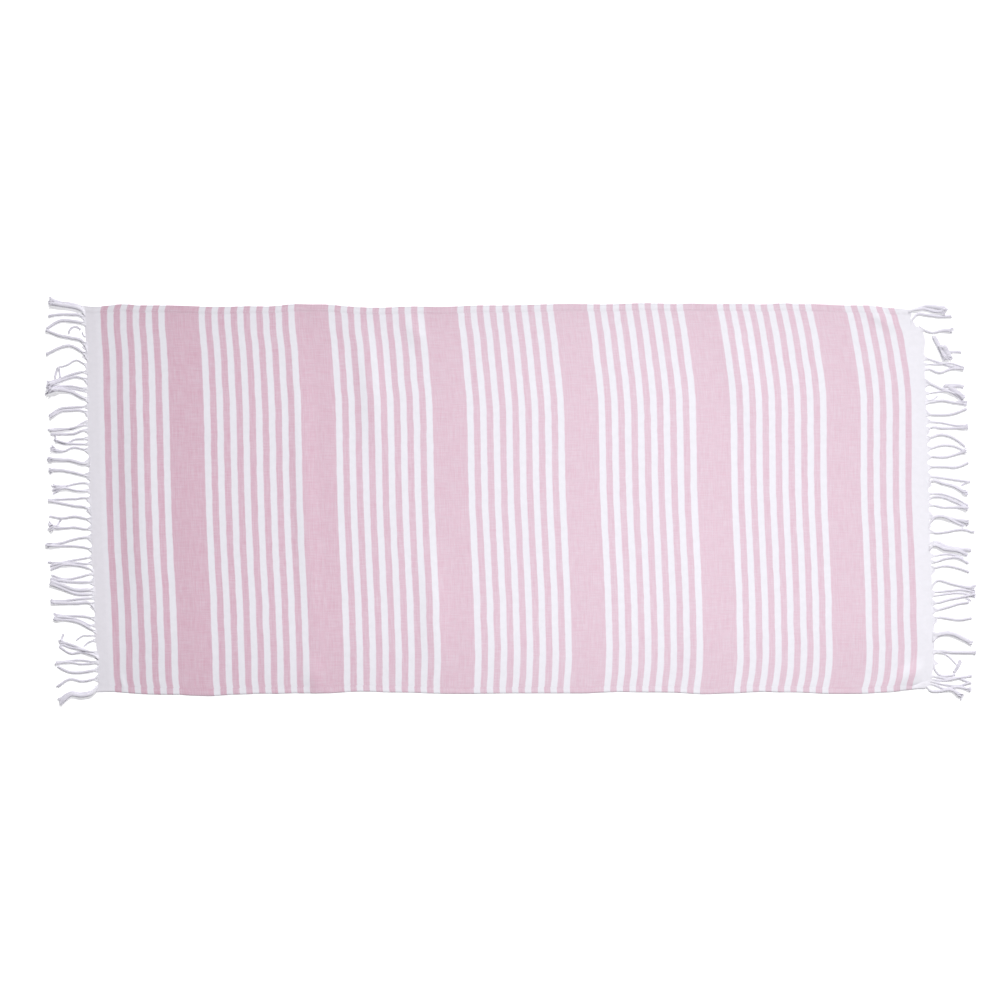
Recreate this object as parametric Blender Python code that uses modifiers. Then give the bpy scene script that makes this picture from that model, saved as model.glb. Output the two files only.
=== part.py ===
"""A flat-woven beach towel with cross stripes, laid out flat, with a fringe at each short end.

The towel is one woven cloth with its two long edges turned over into narrow hems. At each short end the
warp runs on unwoven: its yarns are gathered and lightly twisted into tassels, which lie on the surface.
Lengths are in metres, or in millimetres where a name or a table says so. +X runs along the towel, +Y
across it and +Z up. The underside lies on z = 0, and the towel's box is centred over the origin.
"""

from collections import namedtuple
from math import cos, exp, pi, radians, sin

import bmesh
import bpy
from mathutils import Vector

MM = 0.001

# The woven cloth
LENGTH = 1.700
WIDTH = 0.785
CLOTH_THICKNESS = 0.0014
HEM_WIDTH = 0.010
HEM_THICKNESS = 0.0026
HEM_STEP = 0.0015
CLOTH_CELLS_ALONG = 60
CLOTH_CELLS_ACROSS = 22
CROWDING_ALONG = 0.15
CROWDING_ACROSS = 0.3

# The backing strip of each fringe: the last picks of the heading, parted from the cloth
STRIP_WIDTH = 0.006
STRIP_GAP = 0.0003
STRIP_LIFT = 0.0001
TOOTH = 0.006

# The strands
STRAND_POINTS = 10
STRAND_ROOT_DEPTH = 0.003
STRAND_CLEARANCE = 0.0012
STRAND_FLATNESS = 0.75
TWIST_PER_POINT = radians(30)
ROOT_SIZE = 0.45
TIP_SIZE = 0.85

# How the cloth lies: its ends slant and bow a little, and its corners are drawn in
SLANT = 0.0126
END_BOW = 0.0061
FAR_DRAW_LEFT = 0.008
FAR_DRAW_RIGHT = 0.034
FAR_DRAW_REACH = 0.051
NEAR_DRAW_RIGHT = 0.0265
NEAR_DRAW_REACH = 0.033
END_CALM = 0.030

FAR = 1
NEAR = -1
LEFT = -1
RIGHT = 1

# Where a long edge runs in (+) or out (-) of the straight, in mm
EdgeWave = namedtuple("EdgeWave", "edge along inward half_length")
EDGE_WAVES = (
    EdgeWave(FAR, -576, 3.0, 120),
    EdgeWave(FAR, -424, -2.6, 50),
    EdgeWave(FAR, -250, 4.7, 110),
    EdgeWave(FAR, 306, -4.5, 110),
    EdgeWave(FAR, 640, -2.6, 80),
    EdgeWave(FAR, 792, 7.5, 60),
    EdgeWave(NEAR, -830, 2.6, 50),
    EdgeWave(NEAR, -627, -5.5, 130),
    EdgeWave(NEAR, -320, 2.4, 70),
    EdgeWave(NEAR, -120, -1.4, 120),
    EdgeWave(NEAR, 285, 2.0, 100),
    EdgeWave(NEAR, 670, -1.4, 100),
    EdgeWave(NEAR, 832, 8.0, 70),
)

# Soft ridges that stand up from the surface: middle, direction in degrees from +X, and sizes in mm
Ridge = namedtuple("Ridge", "along across turn length half_width height")
RIDGES = (
    Ridge(-748, 0, 91, 900, 62, 5.0),
    Ridge(-416, 0, 91, 860, 34, 3.2),
    Ridge(-274, 221, 92, 360, 42, 4.0),
    Ridge(-165, -225, 88, 340, 42, 4.0),
    Ridge(-201, 343, 115, 90, 30, 4.5),
    Ridge(-420, -357, 75, 90, 26, 4.5),
    Ridge(366, -200, 84, 420, 60, 3.0),
    Ridge(480, 250, 97, 330, 55, 3.0),
    Ridge(748, 358, 148, 130, 30, 8.0),
    Ridge(806, -358, 21, 110, 28, 8.0),
)

# One row for each tassel, in mm. root: where its middle leaves the cloth, from the towel's middle line.
# gap: between the roots of its two bundles, or 0 for a single bundle. meet: the part of its reach at
# which they come together. lean, bow, wave: how far its tip, its middle and its S run to +Y.
Tassel = namedtuple("Tassel", "root gap meet lean bow wave reach width")
LEFT_TASSELS = (
    Tassel(384, 0, 0, 16, 4, 0, 71, 9),
    Tassel(363, 0, 0, 8, 8, 0, 78, 4),
    Tassel(332, 50, 1.0, 11, 6, 0, 82, 6),
    Tassel(287, 0, 0, 5, 20, 4, 84, 5),
    Tassel(264, 0, 0, 3, 12, 6, 60, 4),
    Tassel(246, 20, 0.6, -9, 3, 0, 80, 5),
    Tassel(221, 9, 0.6, 3, -1, 0, 71, 5),
    Tassel(202, 0, 0, 6, 8, 0, 83, 4),
    Tassel(181, 17, 0.35, -16, 12, -2, 77, 5),
    Tassel(154, 8, 0.25, -13, -2, 0, 83, 5),
    Tassel(135, 0, 0, -2, 1, 3, 75, 4),
    Tassel(117, 11, 0.5, 4, -6, 0, 71, 5),
    Tassel(96, 0, 0, 8, -1, 6, 77, 4),
    Tassel(66, 0, 0, 14, 6, 0, 84, 7),
    Tassel(45, 0, 0, 13, 5, 0, 84, 5),
    Tassel(31, 0, 0, -1, -1, 3, 77, 4),
    Tassel(18, 8, 0.6, -8, 3, 0, 73, 4.5),
    Tassel(-14, 22, 0.85, 11, 0, 0, 86, 5),
    Tassel(-45, 0, 0, 10, 5, 0, 84, 5),
    Tassel(-56, 0, 0, -5, 0, -2, 86, 5),
    Tassel(-93, 28, 0.55, -1, 0, 0, 92, 5.5),
    Tassel(-120, 0, 0, -9, 1, 0, 91, 4),
    Tassel(-144, 0, 0, 5, 12, 0, 84, 5),
    Tassel(-153, 0, 0, -2, -7, 0, 85, 5),
    Tassel(-168, 0, 0, 1, 0, 0, 85, 5),
    Tassel(-190, 8, 0.5, 14, -6, 0, 88, 5),
    Tassel(-211, 17, 0.6, 0, 0, 0, 87, 5),
    Tassel(-260, 20, 0.65, 20, 3, 0, 84, 7),
    Tassel(-277, 0, 0, -6, 2, 0, 40, 4),
    Tassel(-289, 0, 0, -4, 1, 0, 28, 4),
    Tassel(-319, 0, 0, 33, 2, 0, 76, 8),
    Tassel(-331, 0, 0, 0, -2, 2, 87, 6),
    Tassel(-346, 0, 0, 4, -8, 0, 82, 6),
    Tassel(-364, 0, 0, -15, 5, 0, 79, 6),
    Tassel(-384, 8, 0.35, -26, 6, 0, 77, 6),
)
RIGHT_TASSELS = (
    Tassel(384, 7, 0.4, 2, 6, 0, 75, 6),
    Tassel(357, 0, 0, 12, 9, 3, 77, 5),
    Tassel(345, 0, 0, -2, -4, -2, 86, 5),
    Tassel(332, 0, 0, -42, 10, 0, 62, 8),
    Tassel(282, 20, 0.4, -14, -2, 0, 84, 5),
    Tassel(259, 0, 0, -3, -2, -3, 79, 5),
    Tassel(235, 0, 0, -29, 7, 0, 73, 7),
    Tassel(216, 0, 0, -4, 2, 0, 38, 4),
    Tassel(194, 0, 0, -2, 5, 2, 78, 4),
    Tassel(173, 0, 0, 5, -4, 0, 77, 5),
    Tassel(147, 23, 0.35, 0, 0, 0, 79, 5),
    Tassel(121, 0, 0, -12, 11, 0, 74, 5),
    Tassel(100, 0, 0, -1, 8, 0, 77, 5),
    Tassel(83, 0, 0, 9, -3, 0, 77, 5),
    Tassel(55, 0, 0, 14, 3, 0, 81, 5),
    Tassel(43, 0, 0, -9, 0, 0, 84, 5),
    Tassel(20, 0, 0, -6, 9, 5, 77, 5),
    Tassel(3, 9, 0.6, -17, 6, 0, 76, 5),
    Tassel(-14, 0, 0, -14, -2, 0, 77, 4),
    Tassel(-55, 0, 0, -1, 16, 2, 73, 5),
    Tassel(-66, 0, 0, -2, -2, -4, 84, 5),
    Tassel(-102, 0, 0, -4, 3, 4, 79, 5),
    Tassel(-122, 12, 0.4, -8, 6, 0, 76, 5),
    Tassel(-145, 0, 0, -5, 5, 3, 81, 5),
    Tassel(-178, 0, 0, -1, 6, 5, 91, 5),
    Tassel(-187, 0, 0, 0, 0, 0, 88, 4),
    Tassel(-198, 0, 0, -3, 5, 0, 85, 4),
    Tassel(-208, 0, 0, 0, -4, 0, 77, 4),
    Tassel(-223, 0, 0, 6, -2, -2, 76, 5),
    Tassel(-244, 0, 0, 1, 1, 4, 73, 5),
    Tassel(-281, 0, 0, -11, 8, 0, 75, 8),
    Tassel(-312, 0, 0, -1, 3, 0, 81, 5),
    Tassel(-335, 0, 0, -20, -8, -3, 78, 5),
    Tassel(-362, 0, 0, -8, 1, 0, 75, 5),
    Tassel(-372, 0, 0, -4, -4, 0, 81, 5),
    Tassel(-385, 0, 0, -20, 2, -2, 75, 7),
)

# Colours, linear, of the pink stripes' share of the cloth and of the white yarn
CLOTH_COLOUR = (0.84, 0.70, 0.76, 1.0)
YARN_COLOUR = (0.88, 0.87, 0.90, 1.0)
COTTON_ROUGHNESS = 0.9

# Edges that bend more than this are drawn sharp
SHARP_ANGLE = radians(35)


def smooth_step(part):
    """0 below 0, 1 above 1, and a soft run between them."""
    part = min(max(part, 0.0), 1.0)
    return part * part * (3.0 - 2.0 * part)


def bump(part):
    """1 at 0, falling softly to 0 at -1 and 1."""
    return cos(pi * part / 2) ** 2 if abs(part) < 1 else 0.0


def lay_x(along, across):
    """Where a place on the cloth comes to lie, along the towel."""
    side = across / (WIDTH / 2)
    part = along / LENGTH + 0.5
    far_draw = FAR_DRAW_LEFT + (FAR_DRAW_RIGHT - FAR_DRAW_LEFT) * part
    drawn_in = far_draw * exp((across - WIDTH / 2) / FAR_DRAW_REACH)
    drawn_in += NEAR_DRAW_RIGHT * part * exp((-across - WIDTH / 2) / NEAR_DRAW_REACH)
    return along - SLANT * side + END_BOW * side**2 - drawn_in


def lay_y(along, across):
    """Where a place on the cloth comes to lie, across the towel."""
    side = across / (WIDTH / 2)
    y = across
    for wave in EDGE_WAVES:
        if wave.edge * side > 0:
            here = bump((along / MM - wave.along) / wave.half_length)
            y -= wave.edge * wave.inward * MM * here * side**2
    return y


def lay_z(along, across):
    """How high the underside of the cloth stands, which is 0 wherever no ridge runs."""
    height = 0.0
    for ridge in RIDGES:
        turn = radians(ridge.turn)
        dx = along / MM - ridge.along
        dy = across / MM - ridge.across
        lengthwise = dx * cos(turn) + dy * sin(turn)
        sideways = dy * cos(turn) - dx * sin(turn)
        here = bump(sideways / ridge.half_width) * bump(lengthwise / (ridge.length / 2))
        height += ridge.height * MM * here
    return height * smooth_step((LENGTH / 2 - STRIP_WIDTH - abs(along)) / END_CALM)


def crowded_steps(reach, cells, crowding):
    """Stations from -reach to reach, closer together towards both ends."""
    places = [2 * i / cells - 1 for i in range(cells + 1)]
    return [reach * t * (1 + crowding - crowding * t * t) for t in places]


def clear_scene():
    for obj in list(bpy.data.objects):
        bpy.data.objects.remove(obj, do_unlink=True)


def new_collection(name):
    collection = bpy.data.collections.new(name)
    bpy.context.scene.collection.children.link(collection)
    return collection


def cotton(name, colour):
    material = bpy.data.materials.new(name)
    material.use_nodes = True
    shader = material.node_tree.nodes["Principled BSDF"]
    shader.inputs["Base Color"].default_value = colour
    shader.inputs["Roughness"].default_value = COTTON_ROUGHNESS
    shader.inputs["Metallic"].default_value = 0.0
    return material


def sheet(name, alongs, acrosses, place, collection):
    """A grid with a vertex at each pair of stations, moved to where place(along, across) puts it."""
    grid = bmesh.new()
    bmesh.ops.create_grid(grid, x_segments=len(alongs) - 1, y_segments=len(acrosses) - 1, size=1.0)
    for vertex in grid.verts:
        column = round((vertex.co.x + 1) / 2 * (len(alongs) - 1))
        row = round((vertex.co.y + 1) / 2 * (len(acrosses) - 1))
        vertex.co = place(alongs[column], acrosses[row])
    mesh = bpy.data.meshes.new(name)
    grid.to_mesh(mesh)
    grid.free()
    obj = bpy.data.objects.new(name, mesh)
    collection.objects.link(obj)
    return obj


def keep_modified_shape(obj):
    """Makes the shape that the modifiers give the object's own mesh."""
    graph = bpy.context.evaluated_depsgraph_get()
    mesh = bpy.data.meshes.new_from_object(obj.evaluated_get(graph))
    obj.modifiers.clear()
    obj.data = mesh


def build_cloth(collection):
    """The woven cloth between the two strips, thicker at its hems."""
    half_length = LENGTH / 2 - STRIP_WIDTH - STRIP_GAP
    inner = WIDTH / 2 - HEM_WIDTH - HEM_STEP
    alongs = crowded_steps(half_length, CLOTH_CELLS_ALONG, CROWDING_ALONG)
    acrosses = [-WIDTH / 2, -WIDTH / 2 + HEM_WIDTH]
    acrosses += crowded_steps(inner, CLOTH_CELLS_ACROSS, CROWDING_ACROSS)
    acrosses += [WIDTH / 2 - HEM_WIDTH, WIDTH / 2]

    def place(along, across):
        return Vector((lay_x(along, across), lay_y(along, across), lay_z(along, across)))

    cloth = sheet("cloth", alongs, acrosses, place, collection)
    hems = cloth.vertex_groups.new(name="hems")
    last_row = len(acrosses) - 1
    grid_rows = [index // len(alongs) for index in range(len(cloth.data.vertices))]
    hem_rows = (0, 1, last_row - 1, last_row)
    hems.add([index for index, row in enumerate(grid_rows) if row in hem_rows], 1.0, "REPLACE")
    solidify = cloth.modifiers.new("Thickness", "SOLIDIFY")
    solidify.thickness = HEM_THICKNESS
    solidify.offset = 1.0
    solidify.vertex_group = hems.name
    solidify.thickness_vertex_group = CLOTH_THICKNESS / HEM_THICKNESS
    keep_modified_shape(cloth)
    cloth.data.materials.append(cotton("striped cotton", CLOTH_COLOUR))
    cloth.data.shade_smooth()
    cloth.data.set_sharp_from_angle(angle=SHARP_ANGLE)
    return cloth


def bundles(tassel):
    """The signs of a tassel's bundles: one on its line, or one on each side of it."""
    return (0,) if tassel.gap == 0 else (-1, 1)


def strand_offset(tassel, sign, part):
    """How far across from its root a bundle lies, at this part of its reach."""
    line = tassel.lean * part + tassel.bow * sin(pi * part) + tassel.wave * sin(2 * pi * part)
    if sign == 0:
        return line * MM
    closed = smooth_step(part / tassel.meet)
    together = tassel.width * MM + STRAND_CLEARANCE
    spread = tassel.gap * MM * (1 - closed) + together * closed
    return line * MM + sign * (spread - tassel.gap * MM) / 2


def add_strand(curve, end, tassel, sign):
    """One bundle of yarns as a four-sided spline that turns as it runs out over the surface."""
    root = tassel.root * MM + sign * tassel.gap * MM / 2
    root_x = lay_x(end * LENGTH / 2, root)
    root_y = lay_y(end * LENGTH / 2, root)
    spline = curve.splines.new("POLY")
    spline.points.add(STRAND_POINTS - 1)
    for index, point in enumerate(spline.points):
        part = index / (STRAND_POINTS - 1)
        outward = part * (tassel.reach * MM + STRAND_ROOT_DEPTH) - STRAND_ROOT_DEPTH
        radius = tassel.width * MM / 2 * (1 - (1 - TIP_SIZE) * part**3)
        radius *= ROOT_SIZE if index == 0 else 1
        turn = (TWIST_PER_POINT * index) % (pi / 2)
        lowest = radius * cos(min(turn, pi / 2 - turn))
        y = root_y + strand_offset(tassel, sign, part)
        point.co = (root_x + end * outward, y, lowest, 1.0)
        point.radius = radius
        point.tilt = turn


def mesh_of(curve_object, collection):
    """The curve as a mesh with its caps sewn on, in the curve's place."""
    graph = bpy.context.evaluated_depsgraph_get()
    mesh = bpy.data.meshes.new_from_object(curve_object.evaluated_get(graph))
    sewn = bmesh.new()
    sewn.from_mesh(mesh)
    bmesh.ops.remove_doubles(sewn, verts=sewn.verts, dist=0.00001)
    sewn.to_mesh(mesh)
    sewn.free()
    name = curve_object.name
    bpy.data.objects.remove(curve_object, do_unlink=True)
    obj = bpy.data.objects.new(name, mesh)
    collection.objects.link(obj)
    return obj


def build_strands(name, end, tassels, guides):
    curve = bpy.data.curves.new(name, "CURVE")
    curve.dimensions = "3D"
    curve.twist_mode = "Z_UP"
    curve.bevel_depth = 1.0
    curve.bevel_resolution = 0
    curve.use_fill_caps = True
    for tassel in tassels:
        for sign in bundles(tassel):
            add_strand(curve, end, tassel, sign)
    curve_object = bpy.data.objects.new(name, curve)
    guides.objects.link(curve_object)
    strands = mesh_of(curve_object, guides)
    for vertex in strands.data.vertices:
        vertex.co.z *= STRAND_FLATNESS
    strands.hide_render = True
    strands.display_type = "WIRE"
    return strands


def build_fringe(name, end, tassels, collection, guides):
    """A narrow strip of cloth, toothed where its warp gathers, with every strand rooted in it."""
    roots = []
    for tassel in tassels:
        roots += [(tassel.root + sign * tassel.gap / 2) * MM for sign in bundles(tassel)]
    roots.sort()
    valleys = [(low + high) / 2 for low, high in zip(roots, roots[1:])]
    acrosses = sorted(roots + valleys + [-WIDTH / 2, WIDTH / 2])

    def place(along, across):
        x = lay_x(along, across)
        if along == end * LENGTH / 2 and across in roots:
            x += end * TOOTH
        return Vector((x, lay_y(along, across), STRIP_LIFT))

    alongs = sorted([end * LENGTH / 2, end * (LENGTH / 2 - STRIP_WIDTH)])
    strip = sheet(name, alongs, acrosses, place, collection)
    solidify = strip.modifiers.new("Thickness", "SOLIDIFY")
    solidify.thickness = CLOTH_THICKNESS
    solidify.offset = 1.0
    union = strip.modifiers.new("Strands", "BOOLEAN")
    union.operation = "UNION"
    union.use_self = True
    union.object = build_strands(name + "_strands", end, tassels, guides)
    strip.data.materials.append(cotton("white cotton yarn", YARN_COLOUR))
    return strip


def centre_over_origin(objects, helpers):
    """Moves the whole towel so that its box is centred over the origin."""
    bpy.context.view_layer.update()
    graph = bpy.context.evaluated_depsgraph_get()
    corners = []
    for obj in objects:
        evaluated = obj.evaluated_get(graph)
        corners += [evaluated.matrix_world @ Vector(corner) for corner in evaluated.bound_box]
    middle_x = (min(c.x for c in corners) + max(c.x for c in corners)) / 2
    middle_y = (min(c.y for c in corners) + max(c.y for c in corners)) / 2
    for obj in objects + helpers:
        obj.location = (-middle_x, -middle_y, 0.0)


def main():
    clear_scene()
    towel = new_collection("beach_towel")
    guides = new_collection("strand_guides")
    cloth = build_cloth(towel)
    left = build_fringe("fringe_left", LEFT, LEFT_TASSELS, towel, guides)
    right = build_fringe("fringe_right", RIGHT, RIGHT_TASSELS, towel, guides)
    centre_over_origin([cloth, left, right], list(guides.objects))


main()
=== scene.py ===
from collections import namedtuple
from functools import partial
from math import cos, exp, pi, radians, sin

import bmesh
import bpy
from bpy.props import FloatProperty, FloatVectorProperty, IntProperty, PointerProperty
from bpy.types import Operator, Panel, PropertyGroup
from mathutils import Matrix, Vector, noise


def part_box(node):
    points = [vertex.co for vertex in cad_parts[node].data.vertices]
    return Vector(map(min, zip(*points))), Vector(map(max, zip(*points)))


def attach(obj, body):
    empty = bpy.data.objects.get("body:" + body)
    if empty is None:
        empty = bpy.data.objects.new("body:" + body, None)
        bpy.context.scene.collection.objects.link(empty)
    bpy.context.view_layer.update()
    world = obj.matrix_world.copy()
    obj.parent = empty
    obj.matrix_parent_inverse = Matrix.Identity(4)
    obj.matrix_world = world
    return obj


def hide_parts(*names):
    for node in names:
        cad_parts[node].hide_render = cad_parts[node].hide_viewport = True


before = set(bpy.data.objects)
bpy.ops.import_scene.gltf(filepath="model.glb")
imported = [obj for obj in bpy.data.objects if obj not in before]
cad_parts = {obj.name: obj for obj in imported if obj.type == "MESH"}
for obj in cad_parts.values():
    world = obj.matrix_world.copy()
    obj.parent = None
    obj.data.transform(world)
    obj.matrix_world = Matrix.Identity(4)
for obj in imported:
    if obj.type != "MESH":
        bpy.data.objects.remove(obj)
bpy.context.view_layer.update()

bl_info = {
    "name": "Striped beach towel",
    "version": (1, 0, 0),
    "blender": (4, 5, 0),
    "location": "3D View > Sidebar > Beach towel",
    "description": "A flat-woven cotton beach towel with cross stripes and twisted fringes",
    "category": "Object",
}

MM = 0.001

# The nodes that are used most
MATH = "ShaderNodeMath"
VECTOR_MATH = "ShaderNodeVectorMath"
MAP_RANGE = "ShaderNodeMapRange"
MIX = "ShaderNodeMix"
NOISE = "ShaderNodeTexNoise"
RANDOM = "FunctionNodeRandomValue"
ATTRIBUTE = "GeometryNodeInputNamedAttribute"
STORE = "GeometryNodeStoreNamedAttribute"


def table(kind, *rows):
    """The rows of a table, with the names of their columns."""
    return [kind(*row) for row in rows]


# The woven cloth, in metres
LENGTH = 1.700
WIDTH = 0.785

# Its mesh: the columns and rows, which crowd together towards the edges, how far the flat part stops
# short of the folds, in metres, and the angle of a sharp edge, in degrees
COLUMNS = 400
BODY_ROWS = 84
BODY_INSET = 0.006
CROWDING_ALONG = 0.25
CROWDING_ACROSS = 0.12
SHARP_ANGLE = 50

# The narrow strip of each end that holds the fringe, in metres. It reaches back under the cloth.
STRIP_WIDTH = 0.006
STRIP_GAP = 0.0003
STRIP_COLUMNS = 4
STRIP_ROWS = 260
STRIP_INSET = 0.003
STRIP_LAP = 0.0012
STRIP_DROP = 0.00005

# How the cloth lies: its ends slant and bow a little, and its corners are drawn in
SLANT = 0.0126
END_BOW = 0.0061
FAR_DRAW_LEFT = 0.008
FAR_DRAW_RIGHT = 0.034
FAR_DRAW_REACH = 0.051
NEAR_DRAW_RIGHT = 0.0265
NEAR_DRAW_REACH = 0.033
END_CALM = 0.030

# At how many places across and along the towel its outline is measured
OUTLINE_ROWS = 200
OUTLINE_COLUMNS = 400

FAR = 1
NEAR = -1
LEFT = -1
RIGHT = 1
ENDS = {"left": LEFT, "right": RIGHT}

# Where a long edge runs in (+) or out (-) of the straight, in mm. The cloth follows it less and less
# towards the middle line, by this power of the distance from there.
EdgeWave = namedtuple("EdgeWave", "edge along inward half_length power", defaults=(2,))
EDGE_WAVES = table(
    EdgeWave,
    (FAR, -830, 2.6, 34, 8),
    (FAR, -774, -2.2, 36),
    (FAR, -576, 3.0, 120),
    (FAR, -469, 2.0, 60),
    (FAR, -424, -2.6, 50),
    (FAR, -368, -2.0, 60),
    (FAR, -250, 4.7, 110),
    (FAR, -121, 3.2, 90),
    (FAR, 151, -2.8, 150),
    (FAR, 306, -4.5, 110),
    (FAR, 398, -2.2, 40),
    (FAR, 482, -3.0, 150),
    (FAR, 584, -3.0, 45),
    (FAR, 640, -2.6, 80),
    (FAR, 830, -2.2, 30, 8),
    (FAR, 850, 9.5, 100, 8),
    (NEAR, -830, 2.6, 50),
    (NEAR, -740, -2.4, 60),
    (NEAR, -627, -5.5, 130),
    (NEAR, -584, 1.2, 40),
    (NEAR, -494, -1.2, 40),
    (NEAR, -320, 2.4, 70),
    (NEAR, -261, 1.7, 150),
    (NEAR, -120, -1.4, 120),
    (NEAR, 206, 2.4, 70),
    (NEAR, 285, 2.0, 100),
    (NEAR, 391, -2.0, 50),
    (NEAR, 500, 2.5, 55),
    (NEAR, 562, 2.0, 90),
    (NEAR, 670, -1.4, 100),
    (NEAR, 775, 2.2, 60),
    (NEAR, 832, 8.0, 70),
    (NEAR, 855, 1.6, 40, 8),
)

# Where an end runs out (+) or in (-) beside a corner, in mm. Only its last picks follow it.
EndWave = namedtuple("EndWave", "end across out half_length")
END_WAVES = table(
    EndWave,
    (RIGHT, 330, 8.0, 46),
    (RIGHT, 364, -11.0, 22),
    (LEFT, -389, 7.5, 18),
)
END_WAVE_POWER = 110

# Soft ridges that stand up from the surface: middle, direction in degrees from +X, and sizes in mm
Ridge = namedtuple("Ridge", "along across turn length half_width height")
RIDGES = table(
    Ridge,
    (-748, 0, 91, 900, 62, 5.0),
    (-416, 0, 91, 860, 34, 3.2),
    (-274, 221, 92, 360, 42, 4.0),
    (-165, -225, 88, 340, 42, 4.0),
    (-175, 340, 108, 100, 30, 3.0),
    (-412, -357, 80, 90, 30, 3.0),
    (366, -200, 84, 420, 60, 3.0),
    (480, 250, 97, 330, 55, 3.0),
    (777, 370, 148, 110, 26, 2.2),
    (808, -360, 21, 110, 30, 4.0),
)

# Sharper creases on top of the ridges, in the same columns
CREASES = table(
    Ridge,
    (775, 364, 148, 70, 8, 0.9),
    (-177, 345, 108, 60, 9, 0.5),
    (-412, -362, 84, 60, 9, 0.4),
    (-801, -373, 88, 46, 6, 2.0),
    (822, -378, 22, 70, 8, 1.8),
)

# How slack cloth lies uneven: bends to the metre along and across the towel, a seed, the share of the
# whole, and whether only the long edges pucker so
Slack = namedtuple("Slack", "along across seed share at_edge")
SLACKS = table(Slack, (6, 8, 0.3, 0.35, False), (24, 9, 4.1, 0.2, False), (75, 20, 8.7, 0.3, True))
EVEN_SLACK = 0.5
PUCKER_REACH = 0.018

# The section of a hem, in mm: inset from the folded edge, lift over the layer below, and cloth beyond
# the fold
HemRow = namedtuple("HemRow", "inset lift beyond")
HEM_LOWER = table(HemRow, (14.0, 0, -14.0), (9.0, -0.3, -9.0), (4.0, -0.5, -4.0))
HEM_UPPER = table(
    HemRow,
    (1.6, 0.66, 2.2),
    (3.4, 0.66, 4.0),
    (5.2, 0.64, 5.8),
    (7.0, 0.58, 7.6),
    (8.6, 0.46, 9.2),
    (10.0, 0.28, 10.6),
    (11.4, 0.06, 12.0),
    (12.8, -0.20, 13.5),
)
FOLD_RADIUS = 0.56
FOLD_DEPTH = 0.5
FOLD_ROWS = 5
FOLD_TURN = 75
HEM_SLIP = 0.0008
HEM_TOP = 0.5

# The widths and lifts of the hems, as shares of their section, and how they change along the near one:
# where a change starts or has its middle, over how many metres, and by what share
HemChange = namedtuple("HemChange", "start reach share")
FAR_HEM_SPREAD = 1.2
PRESSED_HEM = 0.4
HEM_NARROWING = HemChange(0.812, 0.030, 0.5)
HEM_FLAP = HemChange(0.820, 0.035, 0.45)
HEM_SWELLING = HemChange(0.795, 0.030, 0.8)

# The stitches of the hems: where their row runs, in mm, and the size of one, in metres or of the pitch
STITCH_INSET = 8.2
STITCH_HEIGHT = 0.85
STITCH_SHARE = 0.8
STITCH_WIDTH = 0.0006
STITCH_DEPTH = 0.0005

# Painted shade towards the towel's edges and ends: mm inwards, and the share of the light that the cloth's
# colour gives back there. It stands in for the light falling off towards the long edges and the ends, and in
# the first rows for the shade of the folds and of the doubled cloth of the hems.
PaintedEdgeShade = namedtuple("PaintedEdgeShade", "inset share")
FAR_PAINTED_SHADES = table(
    PaintedEdgeShade,
    (0.0, 0.80), (1.4, 0.84), (3.5, 0.950), (7.0, 0.975), (15.0, 0.955),
    (22.0, 0.968), (45.0, 0.982), (85.0, 0.993), (140.0, 1.0),
)
NEAR_PAINTED_SHADES = table(
    PaintedEdgeShade,
    (0.0, 0.80), (1.4, 0.86), (3.5, 0.965), (7.0, 0.970), (10.5, 0.940),
    (15.0, 0.968), (45.0, 0.974), (85.0, 0.984), (140.0, 1.0),
)
LEFT_PAINTED_SHADES = table(
    PaintedEdgeShade,
    (0.0, 0.945), (5.0, 0.950), (11.0, 0.966), (20.0, 0.968), (24.0, 0.996), (28.0, 0.998),
    (33.0, 0.984), (37.0, 0.975), (70.0, 0.982), (130.0, 0.988), (220.0, 1.0),
)
RIGHT_PAINTED_SHADES = table(PaintedEdgeShade, (0.0, 0.976), (6.0, 0.984), (12.0, 0.996), (24.0, 1.0))

# The painted shade of the far side grows weaker and weaker towards the right end, where the light is
# brighter, from this far along the cloth in metres
FAR_LIGHTER_FROM = 0.95
FAR_LIGHTEST = 0.55

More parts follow.
